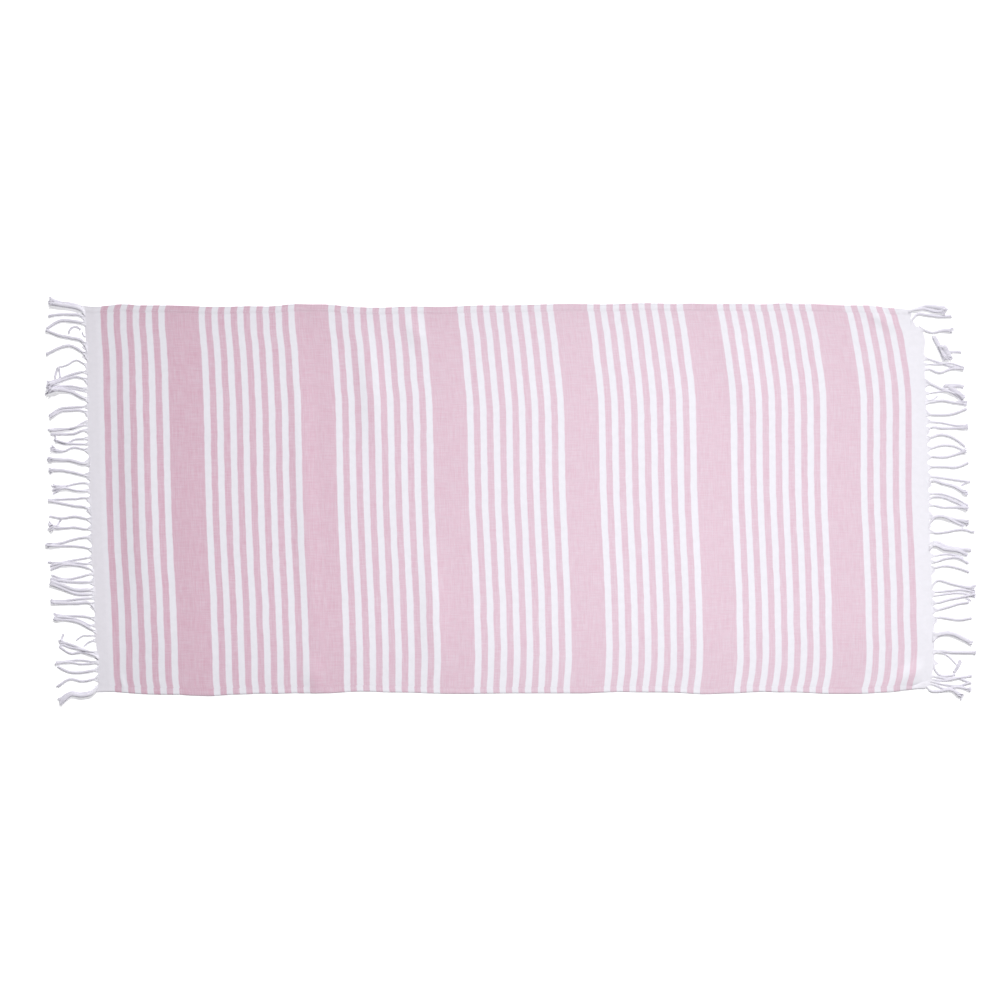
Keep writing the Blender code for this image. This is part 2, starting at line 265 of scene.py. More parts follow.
# One row for each strand of the fringes, in mm. root: where it leaves the cloth, from the towel's middle
# line. near, middle, far, tip: how far to +Y of its root it lies at the STATIONS of its reach. width:
# across its body. brush: how many times wider its tip is. opens: where it starts to widen, in its reach.
Strand = namedtuple("Strand", "root near middle far tip reach width brush opens", defaults=(0.6,))
LEFT_STRANDS = table(
    Strand,
    (385, 6, 11, 14, 21, 69, 7.6, 1.2),
    (376, 10, 15, 18, 23, 70, 7.6, 1.2),
    (363, 10, 12, 12, 9, 74, 5.6, 1),
    (355, 4, 7, 6, -9, 77, 6.6, 0.9),
    (308, 14, 19, 25, 35, 82, 6.8, 0.9),
    (289, 11, 22, 17, 4, 82, 6.2, 1),
    (268, 7, 14, 4, -1, 59, 3.8, 0.9),
    (258, 0, -5, -15, -26, 80, 5.4, 2),
    (238, 8, 9, 1, -9, 80, 5.2, 1.8),
    (224, 1, 5, 5, 1, 79, 4.6, 1.4),
    (218, 2, 6, 7, 3, 79, 4.2, 1.4),
    (201, 5, 16, 21, 20, 81, 7.4, 1.3),
    (189, -1, -3, -5, -21, 78, 5.4, 1.2),
    (171, 8, 9, 7, -6, 78, 4.8, 1.2),
    (158, -3, -15, -15, -17, 82, 4.6, 0.9),
    (150, 0, -5, -10, -11, 79, 4.6, 1),
    (137, 3, -4, -5, -5, 76, 5.2, 1),
    (123, 0, -2, -10, -1, 71, 4.6, 1),
    (113, -1, -1, 1, 7, 67, 4.4, 1.2),
    (97, 4, 8, 0, 6, 78, 4.6, 2.6),
    (76, -4, 2, 4, 5, 84, 7.4, 1.3),
    (47, 2, 7, 12, 12, 82, 6.2, 1.4),
    (28, 5, 3, -2, 0, 77, 4.4, 1.5),
    (21, -3, -3, 2, -2, 76, 4.4, 1.5),
    (15, 1, 3, 7, -4, 75, 3.6, 1.2),
    (-2, 5, 3, 2, 1, 84, 4.8, 1),
    (-24, 8, 11, 16, 22, 86, 5.6, 1),
    (-43, 4, 8, 5, 9, 84, 5.4, 0.9),
    (-57, -3, 0, -1, 2, 85, 5.2, 2.5),
    (-79, 2, -2, -10, -14, 90, 5.4, 1.5),
    (-104, 6, 9, 9, 11, 94, 5.2, 1),
    (-116, -3, -7, -12, -12, 90, 4.4, 1),
    (-128, -3, -1, -2, -7, 87, 4.6, 1.2),
    (-146, 7, 12, 13, 3, 85, 5.4, 1),
    (-151, -2, -8, -11, -2, 84, 5, 1),
    (-167, -1, -1, 1, 6, 87, 6, 1.1),
    (-184, 0, 0, 8, 18, 87, 8, 1),
    (-192, -1, 0, 10, 21, 89, 6.4, 1),
    (-200, -1, -3, -6, -6, 88, 5.4, 1.2),
    (-219, 9, 8, 8, 9, 88, 6, 1),
    (-245, 5, 8, 8, 9, 83, 5.4, 1.3),
    (-256, 0, 10, 16, 16, 83, 4.4, 1.2),
    (-271, 8, 20, 26, 27, 85, 5.8, 1.1),
    (-278, 1, 1, 0, -9, 40, 3.6, 0.8),
    (-287, 0, -1, -5, -13, 25, 4, 0.8),
    (-319, 6, 14, 24, 31, 78, 6.4, 1),
    (-323, 7, 12, 10, 24, 77, 5, 1),
    (-312, 2, 6, 10, 20, 75, 4.4, 1.2),
    (-330, 0, 3, 1, -2, 86, 4.6, 1.1),
    (-333, -1, -2, 2, -2, 86, 4.2, 1),
    (-345, -3, -7, -6, 5, 82, 5.8, 1),
    (-363, -3, -7, -3, -19, 84, 5.2, 1.1),
    (-381, -10, -15, -13, -29, 77, 7, 1.1),
    (-387, -9, -13, -11, -29, 71, 7, 1.1),
)
RIGHT_STRANDS = table(
    Strand,
    (391, 2, 8, 7, 2, 76, 5, 2.2, 0.3),
    (388, 4, 6, 1, 0, 70, 5.4, 1.4, 0.2),
    (362, 17, 16, 13, 14, 81, 5.4, 1),
    (348, -2, -7, -3, -3, 66, 4.6, 1.9, 0.4),
    (288, -3, -10, -18, -20, 82, 4.6, 1),
    (273, 1, 1, 3, -6, 80, 3.6, 1),
    (264, 0, -7, 1, 0, 80, 5, 1),
    (235, 0, -10, -18, -33, 77, 6, 1.4),
    (215, 0, 2, 4, -1, 59, 3.6, 1),
    (204, -2, -3, -1, 6, 24, 3, 0.9),
    (195, 2, 5, 1, -3, 83, 5.6, 1),
    (175, -3, -4, -1, 9, 82, 5.4, 1),
    (159, -2, -4, -9, -9, 84, 4.2, 1.4),
    (137, 9, 7, 7, 8, 83, 5, 1.3),
    (120, 6, 11, 4, -14, 78, 5.6, 0.9),
    (101, 3, 8, 7, -4, 77, 4.8, 1),
    (85, 2, 0, 5, 14, 79, 5.2, 1.2),
    (63, 3, 3, 2, 12, 84, 5.2, 1),
    (46, 0, -3, -7, -11, 86, 4.8, 1),
    (29, 9, 3, -4, -19, 79, 6.4, 1.3),
    (10, 2, 0, -9, -23, 81, 4.2, 1),
    (0, 5, 4, -6, -18, 79, 5.4, 1),
    (-11, -1, -5, -5, -7, 80, 4.6, 1.5),
    (-32, -2, -3, -9, -15, 79, 5.4, 1.9),
    (-55, 17, 20, 10, 1, 71, 5.8, 1),
    (-64, -4, -2, 3, -3, 91, 5.2, 1),
    (-93, 6, -3, -8, -10, 83, 7, 1),
    (-100, 7, -1, -4, -13, 75, 7.6, 1),
    (-116, 1, 4, 3, -5, 67, 3.8, 1),
    (-127, 0, 6, 8, -4, 77, 5.2, 1),
    (-146, 7, 10, 6, -3, 77, 5, 1),
    (-180, 14, 9, 2, -2, 88, 5.2, 1.8),
    (-189, 0, 2, 4, -1, 87, 4.6, 1.4),
    (-197, 1, 4, 5, -3, 87, 4, 1),
    (-211, 0, 6, 11, 18, 87, 5.2, 1),
    (-227, 1, 6, 13, 16, 73, 5.2, 1),
    (-250, 8, 6, 3, 7, 77, 5.2, 1),
    (-283, 6, 8, 0, -13, 77, 9, 1),
    (-312, 0, -2, -3, -3, 85, 6.4, 1),
    (-316, 1, -1, -12, -30, 50, 3.2, 1),
    (-338, -16, -25, -25, -23, 44, 4.4, 1),
    (-365, -1, -5, -4, -14, 78, 4.8, 1),
    (-372, -1, -2, 4, 6, 85, 4.2, 1.2),
    (-377, -1, -6, -8, -1, 85, 4.8, 1),
    (-383, 0, -8, -5, -11, 88, 4.6, 1.5),
    (-386, -10, -10, -8, -23, 72, 5.6, 1.9),
)
STRANDS = {LEFT: LEFT_STRANDS, RIGHT: RIGHT_STRANDS}
STATIONS = (0.0, 0.15, 0.4, 0.7, 1.0)

# Stray yarns that lie in arcs, in mm and degrees. out, across: where one starts, from the cloth's end and
# the middle line. turn: its way there, from outwards to +Y. bend: how far it turns over its length.
Curl = namedtuple("Curl", "end out across turn bend length width")
CURLS = table(
    Curl,
    (LEFT, 33, 334, 80, 165, 36, 4.4),
    (LEFT, 0, 329, 25, 65, 13, 3.2),
    (LEFT, 57, 268, -60, -30, 25, 5.0),
    (LEFT, 55, 267, -85, -22, 22, 4.2),
    (LEFT, 57, 221, -12, -8, 30, 4.0),
    (LEFT, 63, 117, 65, 15, 13, 4.0),
    (LEFT, 57, -37, -55, -8, 22, 4.4),
    (LEFT, 70, -289, 98, 14, 16, 5.0),
    (RIGHT, 18, 334, -60, -8, 54, 9.0),
    (RIGHT, 30, 313, -62, -12, 30, 10.0),
    (RIGHT, 36, 312, -56, -14, 30, 11.0),
    (RIGHT, 46, 298, 12, -24, 30, 5.0),
    (RIGHT, 36, 229, 12, -30, 42, 8.0),
    (RIGHT, 47, 227, -28, -18, 38, 9.0),
    (RIGHT, 61, 198, 2, -6, 23, 4.4),
    (RIGHT, 81, 35, -158, 14, 16, 4.0),
    (RIGHT, 66, -201, -27, -5, 14, 4.0),
    (RIGHT, 43, -358, 52, 18, 28, 7.0),
)

# A bundle of yarns, in metres: half its width, how far its yarns stand to each side at the root, and the
# share by which its tip frays. A strand frays from LEAST_BRUSH on, and wholly BRUSH_RANGE above it.
Bundle = namedtuple("Bundle", "half gather fray")
LEAST_BRUSH = 0.8
BRUSH_RANGE = 0.5
GATHER_SHARE = 0.46
MOST_GATHER = 0.009
STRAY_FRAY = 0.5

# How the bundles lie over each other on the floor. A flatness is a bundle's height over its width. The
# root's depth and the sway are in metres, and the sway's bends and its change between roots to the metre.
STRAND_STEPS = 34
CURL_STEPS = 16
STRAND_ROOT_DEPTH = 0.003
STRAND_FLATNESS = 0.75
STRAY_FLATNESS = 0.42
NEIGHBOURS = 6
LIFT_SPREAD = 3
SWAY = 0.0006
SWAY_BENDS = 60
SWAY_CHANGE = 50

# How the edge of the cloth is drawn out at the roots of the strands: the least reach is in metres
TOOTH_SHARE = 1.15
LEAST_TOOTH = 0.004
TOOTH_POWER = 1.5

# The measures of its bundle that each line of the fringe carries
GUIDE_MEASURES = {
    "half_width": "FLOAT",
    "yarn_half": "FLOAT",
    "number": "INT",
    "gather": "FLOAT",
    "fray": "FLOAT",
}

# The yarns of a bundle. Their ring, their thickness, their drop at the root and how far they stray at the
# tip are shares of its half width. They come together over the gather length, in metres, and the run
# before is how far their plies have run at the root. Where they end and fray are shares of their length.
STRAND_YARNS = {
    "Ring Size": 0.62,
    "Yarn Size": 0.46,
    "Flatness": 0.55,
    "Gather Length": 0.015,
    "Run Before": 0.0,
}
STRAY_YARNS = {
    "Ring Size": 0.72,
    "Yarn Size": 0.36,
    "Flatness": 0.32,
    "Gather Length": 0.002,
    "Run Before": 0.016,
}
YARN_SIDES = 5
MOST_YARNS = 16.0
SHORTEST_YARN = 0.965
FRAYS_FROM = 0.84
FRAY_SPREAD = 0.3
LEAST_STRAY = (-0.5, -1.0, -0.6)
MOST_STRAY = (0.5, 1.0, 0.2)
ROOT_DROP = 0.35
THIN_ROOT = 0.8
THIN_TIP = 0.6
FRINGE_SEED = 11

# The stripes, in mm from the left end of the woven cloth. One repeat is a wide pink band, then
# narrow pink stripes one pitch apart, each with white before it.
STRIPE_REPEAT = 266.85
FIRST_WIDE_START = 164.0
WIDE_BAND = 69.8
NARROW_PITCH = 26.25
WHITE_BEFORE = 13.2
FIRST_PINK_START = 28.0
LAST_PINK_END = 1677.0
EDGE_SOFTNESS = 1.8
STRIPE_WANDER = 0.7

# The left heading has taken up a little of the dye
HEADING_TINT = 0.05
HEADING_SOFTNESS = 8.0

# Towards the right end the picks lie closer together, by this share of the length past a place
CLOSER_FROM = 1275.0
CLOSER_SHARE = 0.0192

# How far the picks run off the plain course of the cloth, in mm to +X, at five places along the towel
PickLine = namedtuple("PickLine", "across left quarter middle three_quarter right")
PICK_LINES = table(
    PickLine,
    (-392, 2.2, 4.8, 4.9, 5.6, 8.7),
    (-380, 1.8, 2.4, 1.1, 0.8, 1.8),
    (-368, -0.6, 0.6, -0.4, -0.8, 0.6),
    (-345, -0.5, 0.3, -0.8, -1.4, -0.6),
    (-300, 1.2, 0.8, 0.4, -1.0, -0.5),
    (-250, 2.0, 1.0, 0.7, -0.2, -1.2),
    (-205, 2.5, 1.8, 1.9, 0.9, 0.8),
    (-100, 0.8, 1.1, 1.3, 1.0, 1.2),
    (0, 0.8, 1.0, 0.2, 0.0, 0.2),
    (80, 0.8, 1.6, 0.7, 0.7, 2.2),
    (140, 1.3, 2.0, 1.4, 1.5, 4.0),
    (200, 0.9, 1.9, 0.9, 1.5, 5.4),
    (241, 1.1, 0.1, -1.8, -0.6, 3.8),
    (282, 1.0, -0.9, -4.0, -4.2, 0.3),
    (312, 0.4, -1.5, -4.7, -5.3, -1.6),
    (340, -0.4, -2.5, -4.7, -5.1, -2.0),
    (360, 0.4, -1.2, -3.8, -4.0, -0.8),
    (380, 2.9, 1.7, -0.2, -0.6, 2.2),
    (392, 8.5, 5.6, 4.0, 4.2, 4.8),
)
PICK_STATIONS = (-0.800, -0.400, 0.0, 0.400, 0.800)
PICK_CALM = 0.045

# Painted sheen: the pink weft is painted paler over this length from the left end, in mm, for the veil of
# light over the towel's right part
PAINTED_SHEEN_REACH = 1100.0

# Yarn spacing is about 0.6 mm in such a cloth; it is drawn at 1.2 mm, so that it shows. The bands of a
# wave texture lie 314 mm apart at scale 1.
YARN_WAVES = {"Scale": 262.0, "Distortion": 1.6, "Detail": 2.0, "Detail Scale": 0.12}

# The share of the weft that the warp covers: the least, and how much more where a warp yarn is highest
LEAST_COVER = 0.30
WARP_ROUNDNESS = 0.34

# Thick and thin places in the yarns: how many to the metre along and across the towel, a seed, and how
# much more (+) or less (-) of the weft they let the warp cover
Streaks = namedtuple("Streaks", "along across seed cover")
WARP_STREAKS = Streaks(30.0, 560.0, 3.0, 0.08)
WEFT_STREAKS = Streaks(420.0, 26.0, 7.0, -0.09)
SLUB_HEIGHT = 0.8

# The plies of the fringe's yarns turn once in 3 mm. The yarns lie open up to OPEN_ROOT from the cloth,
# and are wholly twisted at TWISTED_FROM, in metres.
PLY_PITCH = 0.003
OPEN_ROOT = 0.006
TWISTED_FROM = 0.024
FUZZ_HEIGHT = 0.8
COTTON_IOR = 1.53

# The floor, in metres, and its glow from left to right
FLOOR_REACH = 40.0
FLOOR_CELLS = 8
FLOOR_DROP = 0.0003
FLOOR_GLOW = {"From Min": -1.0, "From Max": 0.4, "To Min": 0.36, "To Max": 0.20}

# The view: 85 mm on a 36 mm sensor, straight above the towel
LENS = 85.0
SENSOR = 36.0
VIEW_WIDTH = 2.027
CAMERA_MIDDLE = (-0.0217, 0.0034)

# A soft light hangs over the right half, and a distant one comes from the far side
TOP_LIGHT_PLACE = (0.44, 0.0, 1.8)
TOP_LIGHT_SIZE = 1.5
KEY_LIGHT_FROM = (0.20, 0.62, 0.76)
KEY_LIGHT_ANGLE = 9


def linear(code):
    """The linear colour of an sRGB hex code."""
    parts = [int(code[i : i + 2], 16) / 255 for i in (1, 3, 5)]
    return tuple(c / 12.92 if c <= 0.04045 else ((c + 0.055) / 1.055) ** 2.4 for c in parts)


class TowelSizes(PropertyGroup):
    cloth_thickness: FloatProperty(
        name="Cloth thickness", description="Thickness of one layer of the woven cloth",
        default=0.0010, unit="LENGTH", subtype="DISTANCE",
    )
    relief: FloatProperty(
        name="Relief", description="How far the slack cloth stands off the floor between its folds",
        default=0.0014, unit="LENGTH", subtype="DISTANCE",
    )
    white: FloatVectorProperty(
        name="White yarn", description="Colour of the bleached cotton yarn",
        default=linear("#EEECF3"), subtype="COLOR",
    )
    # The fringe yarn's own colour with painted shade between its plies
    fringe_yarn_and_ply_shade: FloatVectorProperty(
        name="Fringe yarn",
        description="Colour of the thicker cotton yarn of the tassels, with the shade between its plies",
        default=linear("#E3E0EA"), subtype="COLOR",
    )
    deep_pink: FloatVectorProperty(
        name="Pink yarn, left", description="Colour of the dyed weft yarn at the towel's left end",
        default=linear("#CC7599"), subtype="COLOR",
    )
    # Painted sheen: this paler pink is the weft's pink with the veil of light over the towel's right half
    # painted in
    painted_sheen_pink: FloatVectorProperty(
        name="Pink yarn, right",
        description="Colour of the dyed weft yarn from the towel's middle to its right end",
        default=linear("#D69CB4"), subtype="COLOR",
    )
    yarns: IntProperty(
        name="Yarns in a bundle", description="Yarns that are twisted together in one bundle of a tassel",
        default=7, min=2, max=12,
    )
    twist_pitch: FloatProperty(
        name="Twist pitch", description="Length of one full turn of a tassel's yarns",
        default=0.026, unit="LENGTH", subtype="DISTANCE",
    )
    stitch_pitch: FloatProperty(
        name="Stitch pitch", description="Length from one hem stitch to the next",
        default=0.0032, unit="LENGTH", subtype="DISTANCE",
    )
    top_strength: FloatProperty(
        name="Top light", description="Power of the soft light over the towel's right half, in watts",
        default=15.5,
    )
    key_strength: FloatProperty(
        name="Key light", description="Strength of the distant light from the far side", default=2.71
    )
    fill_strength: FloatProperty(
        name="Fill light", description="Strength of the even light from all round", default=0.064
    )


def smooth_step(part):
    """0 below 0, 1 above 1, and a soft run between them."""
    part = min(max(part, 0.0), 1.0)
    return part * part * (3.0 - 2.0 * part)


def bump(part):
    """1 at 0, falling softly to 0 at -1 and 1."""
    return cos(pi * part / 2) ** 2 if abs(part) < 1 else 0.0


def soft_line(places, values, place):
    """The value at a place, on a smooth curve through the values at the given places."""
    last = len(places) - 1
    place = min(max(place, places[0]), places[last])
    span = next(i for i in range(last) if place <= places[i + 1])
    step = places[span + 1] - places[span]
    slopes = []
    for station in (span, span + 1):
        before, after = max(station - 1, 0), min(station + 1, last)
        slopes.append(step * (values[after] - values[before]) / (places[after] - places[before]))
    t = (place - places[span]) / step
    blend = t * t * (3 - 2 * t)
    ends = values[span] * (1 - blend) + values[span + 1] * blend
    return ends + slopes[0] * t * (1 - t) ** 2 - slopes[1] * t * t * (1 - t)


def pick_run(along, across):
    """How far the picks run off the plain course of the cloth: nowhere at its two ends."""
    acrosses = [line.across * MM for line in PICK_LINES]
    columns = list(zip(*(line[1:] for line in PICK_LINES)))
    runs = [soft_line(acrosses, column, across) for column in columns]
    calm = smooth_step((LENGTH / 2 - abs(along)) / PICK_CALM)
    return soft_line(PICK_STATIONS, runs, along) * MM * calm


def lay_x(along, across):
    """Where a place on the cloth comes to lie, along the towel."""
    side = across / (WIDTH / 2)
    part = along / LENGTH + 0.5
    far_draw = FAR_DRAW_LEFT + (FAR_DRAW_RIGHT - FAR_DRAW_LEFT) * part
    drawn_in = far_draw * exp((across - WIDTH / 2) / FAR_DRAW_REACH)
    drawn_in += NEAR_DRAW_RIGHT * part * exp((-across - WIDTH / 2) / NEAR_DRAW_REACH)
    run_out = 0.0
    for wave in END_WAVES:
        near_end = min(max(0.5 + wave.end * along / LENGTH, 0.0), 1.0) ** END_WAVE_POWER
        here = bump((across / MM - wave.across) / wave.half_length)
        run_out += wave.end * wave.out * MM * here * near_end
    return along - SLANT * side + END_BOW * side**2 - drawn_in + run_out


def lay_y(along, across):
    """Where a place on the cloth comes to lie, across the towel."""
    side = across / (WIDTH / 2)
    y = across
    for wave in EDGE_WAVES:
        if wave.edge * side > 0:
            here = bump((along / MM - wave.along) / wave.half_length)
            y -= wave.edge * wave.inward * MM * here * abs(side) ** wave.power
    return y


def ridge_height(ridge, along, across):
    turn = radians(ridge.turn)
    dx = along / MM - ridge.along
    dy = across / MM - ridge.across
    lengthwise = dx * cos(turn) + dy * sin(turn)
    sideways = dy * cos(turn) - dx * sin(turn)
    here = bump(sideways / ridge.half_width) * bump(lengthwise / (ridge.length / 2))
    return ridge.height * MM * here


def lay_z(along, across, relief):
    """How high the underside of the cloth stands: its ridges and creases, and uneven slack cloth."""
    height = sum(ridge_height(ridge, along, across) for ridge in RIDGES + CREASES)
    height *= smooth_step((LENGTH / 2 - STRIP_WIDTH - abs(along)) / END_CALM)
    edge = exp(-(WIDTH / 2 - abs(across)) / PUCKER_REACH)
    uneven = EVEN_SLACK
    for slack in SLACKS:
        here = noise.noise(Vector((along * slack.along, across * slack.across, slack.seed)))
        uneven += slack.share * (edge * here if slack.at_edge else here)
    return height + relief * max(uneven, 0.0)


def crowded_steps(reach, cells, crowding):
    """Stations from -reach to reach, closer together towards both ends."""
    places = [2 * i / cells - 1 for i in range(cells + 1)]
    return [reach * t * (1 + crowding - crowding * t * t) for t in places]


def towel_shift():
    """How far the frame moved the towel to centre it over the origin, from the box of its cloth."""
    end = LENGTH / 2 - STRIP_WIDTH - STRIP_GAP
    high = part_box("cloth")[1]
    right = max(lay_x(end, across) for across in crowded_steps(WIDTH / 2, OUTLINE_ROWS, 0))
    far = max(lay_y(along, WIDTH / 2) for along in crowded_steps(end, OUTLINE_COLUMNS, 0))
    return Vector((high[0] - right, high[1] - far, 0.0))


def set_inputs(node, inputs):
    """Sets a node's inputs, by their names or in their order, to values, nodes or the outputs of nodes."""
    sockets = [socket for socket in node.inputs if socket.enabled]
    if isinstance(inputs, dict):
        sockets = [next(socket for socket in sockets if socket.name == name) for name in inputs]
        inputs = inputs.values()
    for found, value in zip(sockets, inputs):
        if isinstance(value, bpy.types.Node):
            value = next(output for output in value.outputs if output.enabled)
        if isinstance(value, bpy.types.NodeSocket):
            node.id_data.links.new(value, found)
        else:
            found.default_value = value


def add_node(tree, kind, inputs=(), operation=None, **settings):
    """Adds a node with its settings, its values and its links."""
    node = tree.nodes.new(kind)
    if operation:
        node.operation = operation
    for name, value in settings.items():
        setattr(node, name, value)
    set_inputs(node, inputs)
    return node


def new_material(name):
    """A material, the function that adds its nodes, and its shader."""
    material = bpy.data.materials.new(name)
    material.use_nodes = True
    tree = material.node_tree
    return material, partial(add_node, tree), tree.nodes["Principled BSDF"]


def uneven(add, pattern, low, high):
    """Spreads a noise pattern, from the least to the most that it usually shows, over a range of its own."""
    usual = {"From Min": 0.3, "From Max": 0.7}
    return add(MAP_RANGE, {"Value": pattern, **usual, "To Min": low, "To Max": high})


def band(add, place, start, end, softness):
    """1 where place lies between start and end, with soft edges."""
    sides = []
    for edge, before in ((start, 0.0), (end, 1.0)):
        soft = {"From Min": edge - softness / 2, "From Max": edge + softness / 2}
        values = {"Value": place, **soft, "To Min": before, "To Max": 1.0 - before}
        sides.append(add(MAP_RANGE, values, interpolation_type="SMOOTHSTEP"))
    return add(MATH, sides, "MULTIPLY")


def pink_share(add, along_mm):
    """1 in the pink stripes, 0 in the white ones, and the tint of the left heading."""
    lead = WHITE_BEFORE / 2
    wide_end = lead + WIDE_BAND
    shifted = add(MATH, (along_mm, lead - FIRST_WIDE_START), "ADD")
    place = add(MATH, (shifted, STRIPE_REPEAT), "FLOORED_MODULO")
    wide = band(add, place, lead, wide_end, EDGE_SOFTNESS)
    after = add(MATH, (place, -wide_end - lead), "ADD")
    pitch_place = add(MATH, (after, NARROW_PITCH), "FLOORED_MODULO")
    narrow = band(add, pitch_place, WHITE_BEFORE - lead, NARROW_PITCH - lead, EDGE_SOFTNESS)
    past_wide = add(MATH, (place, wide_end + lead), "GREATER_THAN")
    narrow = add(MATH, (narrow, past_wide), "MULTIPLY")
    both = add(MATH, (wide, narrow), "ADD")
    between = band(add, along_mm, FIRST_PINK_START, LAST_PINK_END, EDGE_SOFTNESS)
    striped = add(MATH, (both, between), "MULTIPLY")
    heading = band(add, along_mm, -FIRST_PINK_START, FIRST_PINK_START, HEADING_SOFTNESS)
    return add(MATH, (heading, HEADING_TINT, striped), "MULTIPLY_ADD")


def yarn_streaks(add, weave, streak):
    """Thicker and thinner places in the yarns of one direction, from 0 to 1."""
    stretch = {"Scale": (streak.along, streak.across, 1.0), "Location": (0.0, 0.0, streak.seed)}
    mapped = add("ShaderNodeMapping", {"Vector": weave, **stretch})
    return add(NOISE, {"Vector": mapped, "Scale": 1.0, "Detail": 3.0, "Roughness": 0.6})


def painted_edge_shade(add, place, edge, rows):
    """Painted shade: the share of the light that the cloth gives back, by its distance from one of its
    edges.
    """
    reach = rows[-1].inset * MM
    off = add(MATH, (place, edge), "SUBTRACT")
    inset = add(MATH, (off,), "ABSOLUTE")
    part = add(MATH, (inset, reach), "DIVIDE", use_clamp=True)
    ramp = add("ShaderNodeValToRGB", (part,))
    stops = ramp.color_ramp.elements
    for row in rows[1:-1]:
        stops.new(row.inset * MM / reach)
    for stop, row in zip(stops, rows):
        stop.color = (row.share, row.share, row.share, 1.0)
    return ramp.outputs["Color"]


def striped_cotton(sizes):
    """Plain-woven cotton: a white warp along the towel, and a weft that changes from white to pink.

    The white warp crosses the pink weft everywhere, so a pink stripe looks like a fine pale check, soft
    and matt, with uneven yarns that show as short streaks in both directions.
    """
    material, add, shader = new_material("plain-woven cotton, striped weft")
    white = (*sizes.white, 1.0)
    weave = add("ShaderNodeUVMap", uv_map="weave")
    flat = add("ShaderNodeSeparateXYZ", (weave,))
    along, across = flat.outputs["X"], flat.outputs["Y"]

    # The stripes wander a little, over about 40 mm, and lie closer together towards the right end
    along_mm = add(MATH, (along, 1 / MM), "MULTIPLY")
    wander = add(NOISE, {"Vector": weave, "Scale": 26.0, "Detail": 4.0, "Roughness": 0.6})
    wandered = uneven(add, wander, -STRIPE_WANDER, STRIPE_WANDER)
    place = add(MATH, (along_mm, wandered), "ADD")
    past = add(MATH, (along_mm, CLOSER_FROM), "SUBTRACT")
    past = add(MATH, (past, 0.0), "MAXIMUM")
    place = add(MATH, (past, CLOSER_SHARE, place), "MULTIPLY_ADD")
    pink = pink_share(add, place)

    warp, weft = (
        add("ShaderNodeTexWave", {"Vector": weave, **YARN_WAVES}, bands_direction=way)
        for way in ("Y", "X")
    )
    warp_streaks = yarn_streaks(add, weave, WARP_STREAKS)
    weft_streaks = yarn_streaks(add, weave, WEFT_STREAKS)

    # How much of the white warp covers the weft: half of it, more where a warp yarn is thick, and less
    # where a weft yarn is.
    cover = add(MATH, (warp, WARP_ROUNDNESS, LEAST_COVER), "MULTIPLY_ADD")
    for streaks, most in ((warp_streaks, WARP_STREAKS.cover), (weft_streaks, WEFT_STREAKS.cover)):
        thick = uneven(add, streaks, -most, most)
        cover = add(MATH, (cover, thick), "ADD", use_clamp=True)
    # The pink is painted paler towards the right end: painted sheen, for the veil of light there
    painted_sheen = add(MAP_RANGE, {"Value": along_mm, "From Max": PAINTED_SHEEN_REACH}, interpolation_type="SMOOTHSTEP")
    pinks = {"A": (*sizes.deep_pink, 1.0), "B": (*sizes.painted_sheen_pink, 1.0)}
    pink_colour = add(MIX, {"Factor": painted_sheen, **pinks}, data_type="RGBA")
    weft_colour = add(MIX, {"Factor": pink, "A": white, "B": pink_colour}, data_type="RGBA")
    cloth_colour = add(MIX, {"Factor": cover, "A": weft_colour, "B": white}, data_type="RGBA")

    # Slack and taut places, about 10 mm wide, are greyer or lighter, and painted shade darkens the towel
    # towards its edges and ends, where the light falls off and the folds and hems shade it
    patches = add(NOISE, {"Vector": weave, "Scale": 90.0, "Detail": 3.0, "Roughness": 0.6})
    shade = uneven(add, patches, 0.975, 1.015)
    far_painted_shade = painted_edge_shade(add, across, WIDTH / 2, FAR_PAINTED_SHADES)
    lit_part = {"From Min": FAR_LIGHTER_FROM, "From Max": LENGTH, "To Max": FAR_LIGHTEST}
    lighter = add(MAP_RANGE, {"Value": along, **lit_part})
    far_painted_shade = add(MIX, {"Factor": lighter, "A": far_painted_shade, "B": 1.0}, data_type="FLOAT")
    near_painted_shade = painted_edge_shade(add, across, -WIDTH / 2, NEAR_PAINTED_SHADES)
    left_painted_shade = painted_edge_shade(add, along, 0.0, LEFT_PAINTED_SHADES)
    right_painted_shade = painted_edge_shade(add, along, LENGTH, RIGHT_PAINTED_SHADES)
    for share in (far_painted_shade, near_painted_shade, left_painted_shade, right_painted_shade):
        shade = add(MATH, (shade, share), "MULTIPLY")
    shades = {"Factor": 1.0, "A": cloth_colour, "B": shade}
    shaded = add(MIX, shades, data_type="RGBA", blend_type="MULTIPLY")

    lattice = add(MATH, (warp, weft), "MAXIMUM")
    slubs = add(MATH, (warp_streaks, weft_streaks), "ADD")
    height = add(MATH, (slubs, SLUB_HEIGHT, lattice), "MULTIPLY_ADD")
    relief = add("ShaderNodeBump", {"Height": height, "Strength": 0.5, "Distance": 0.0003})
    surface = {"Roughness": 0.85, "IOR": COTTON_IOR, "Sheen Weight": 0.15, "Sheen Roughness": 0.5}
    set_inputs(shader, {"Base Color": shaded, "Normal": relief, **surface})
    return material


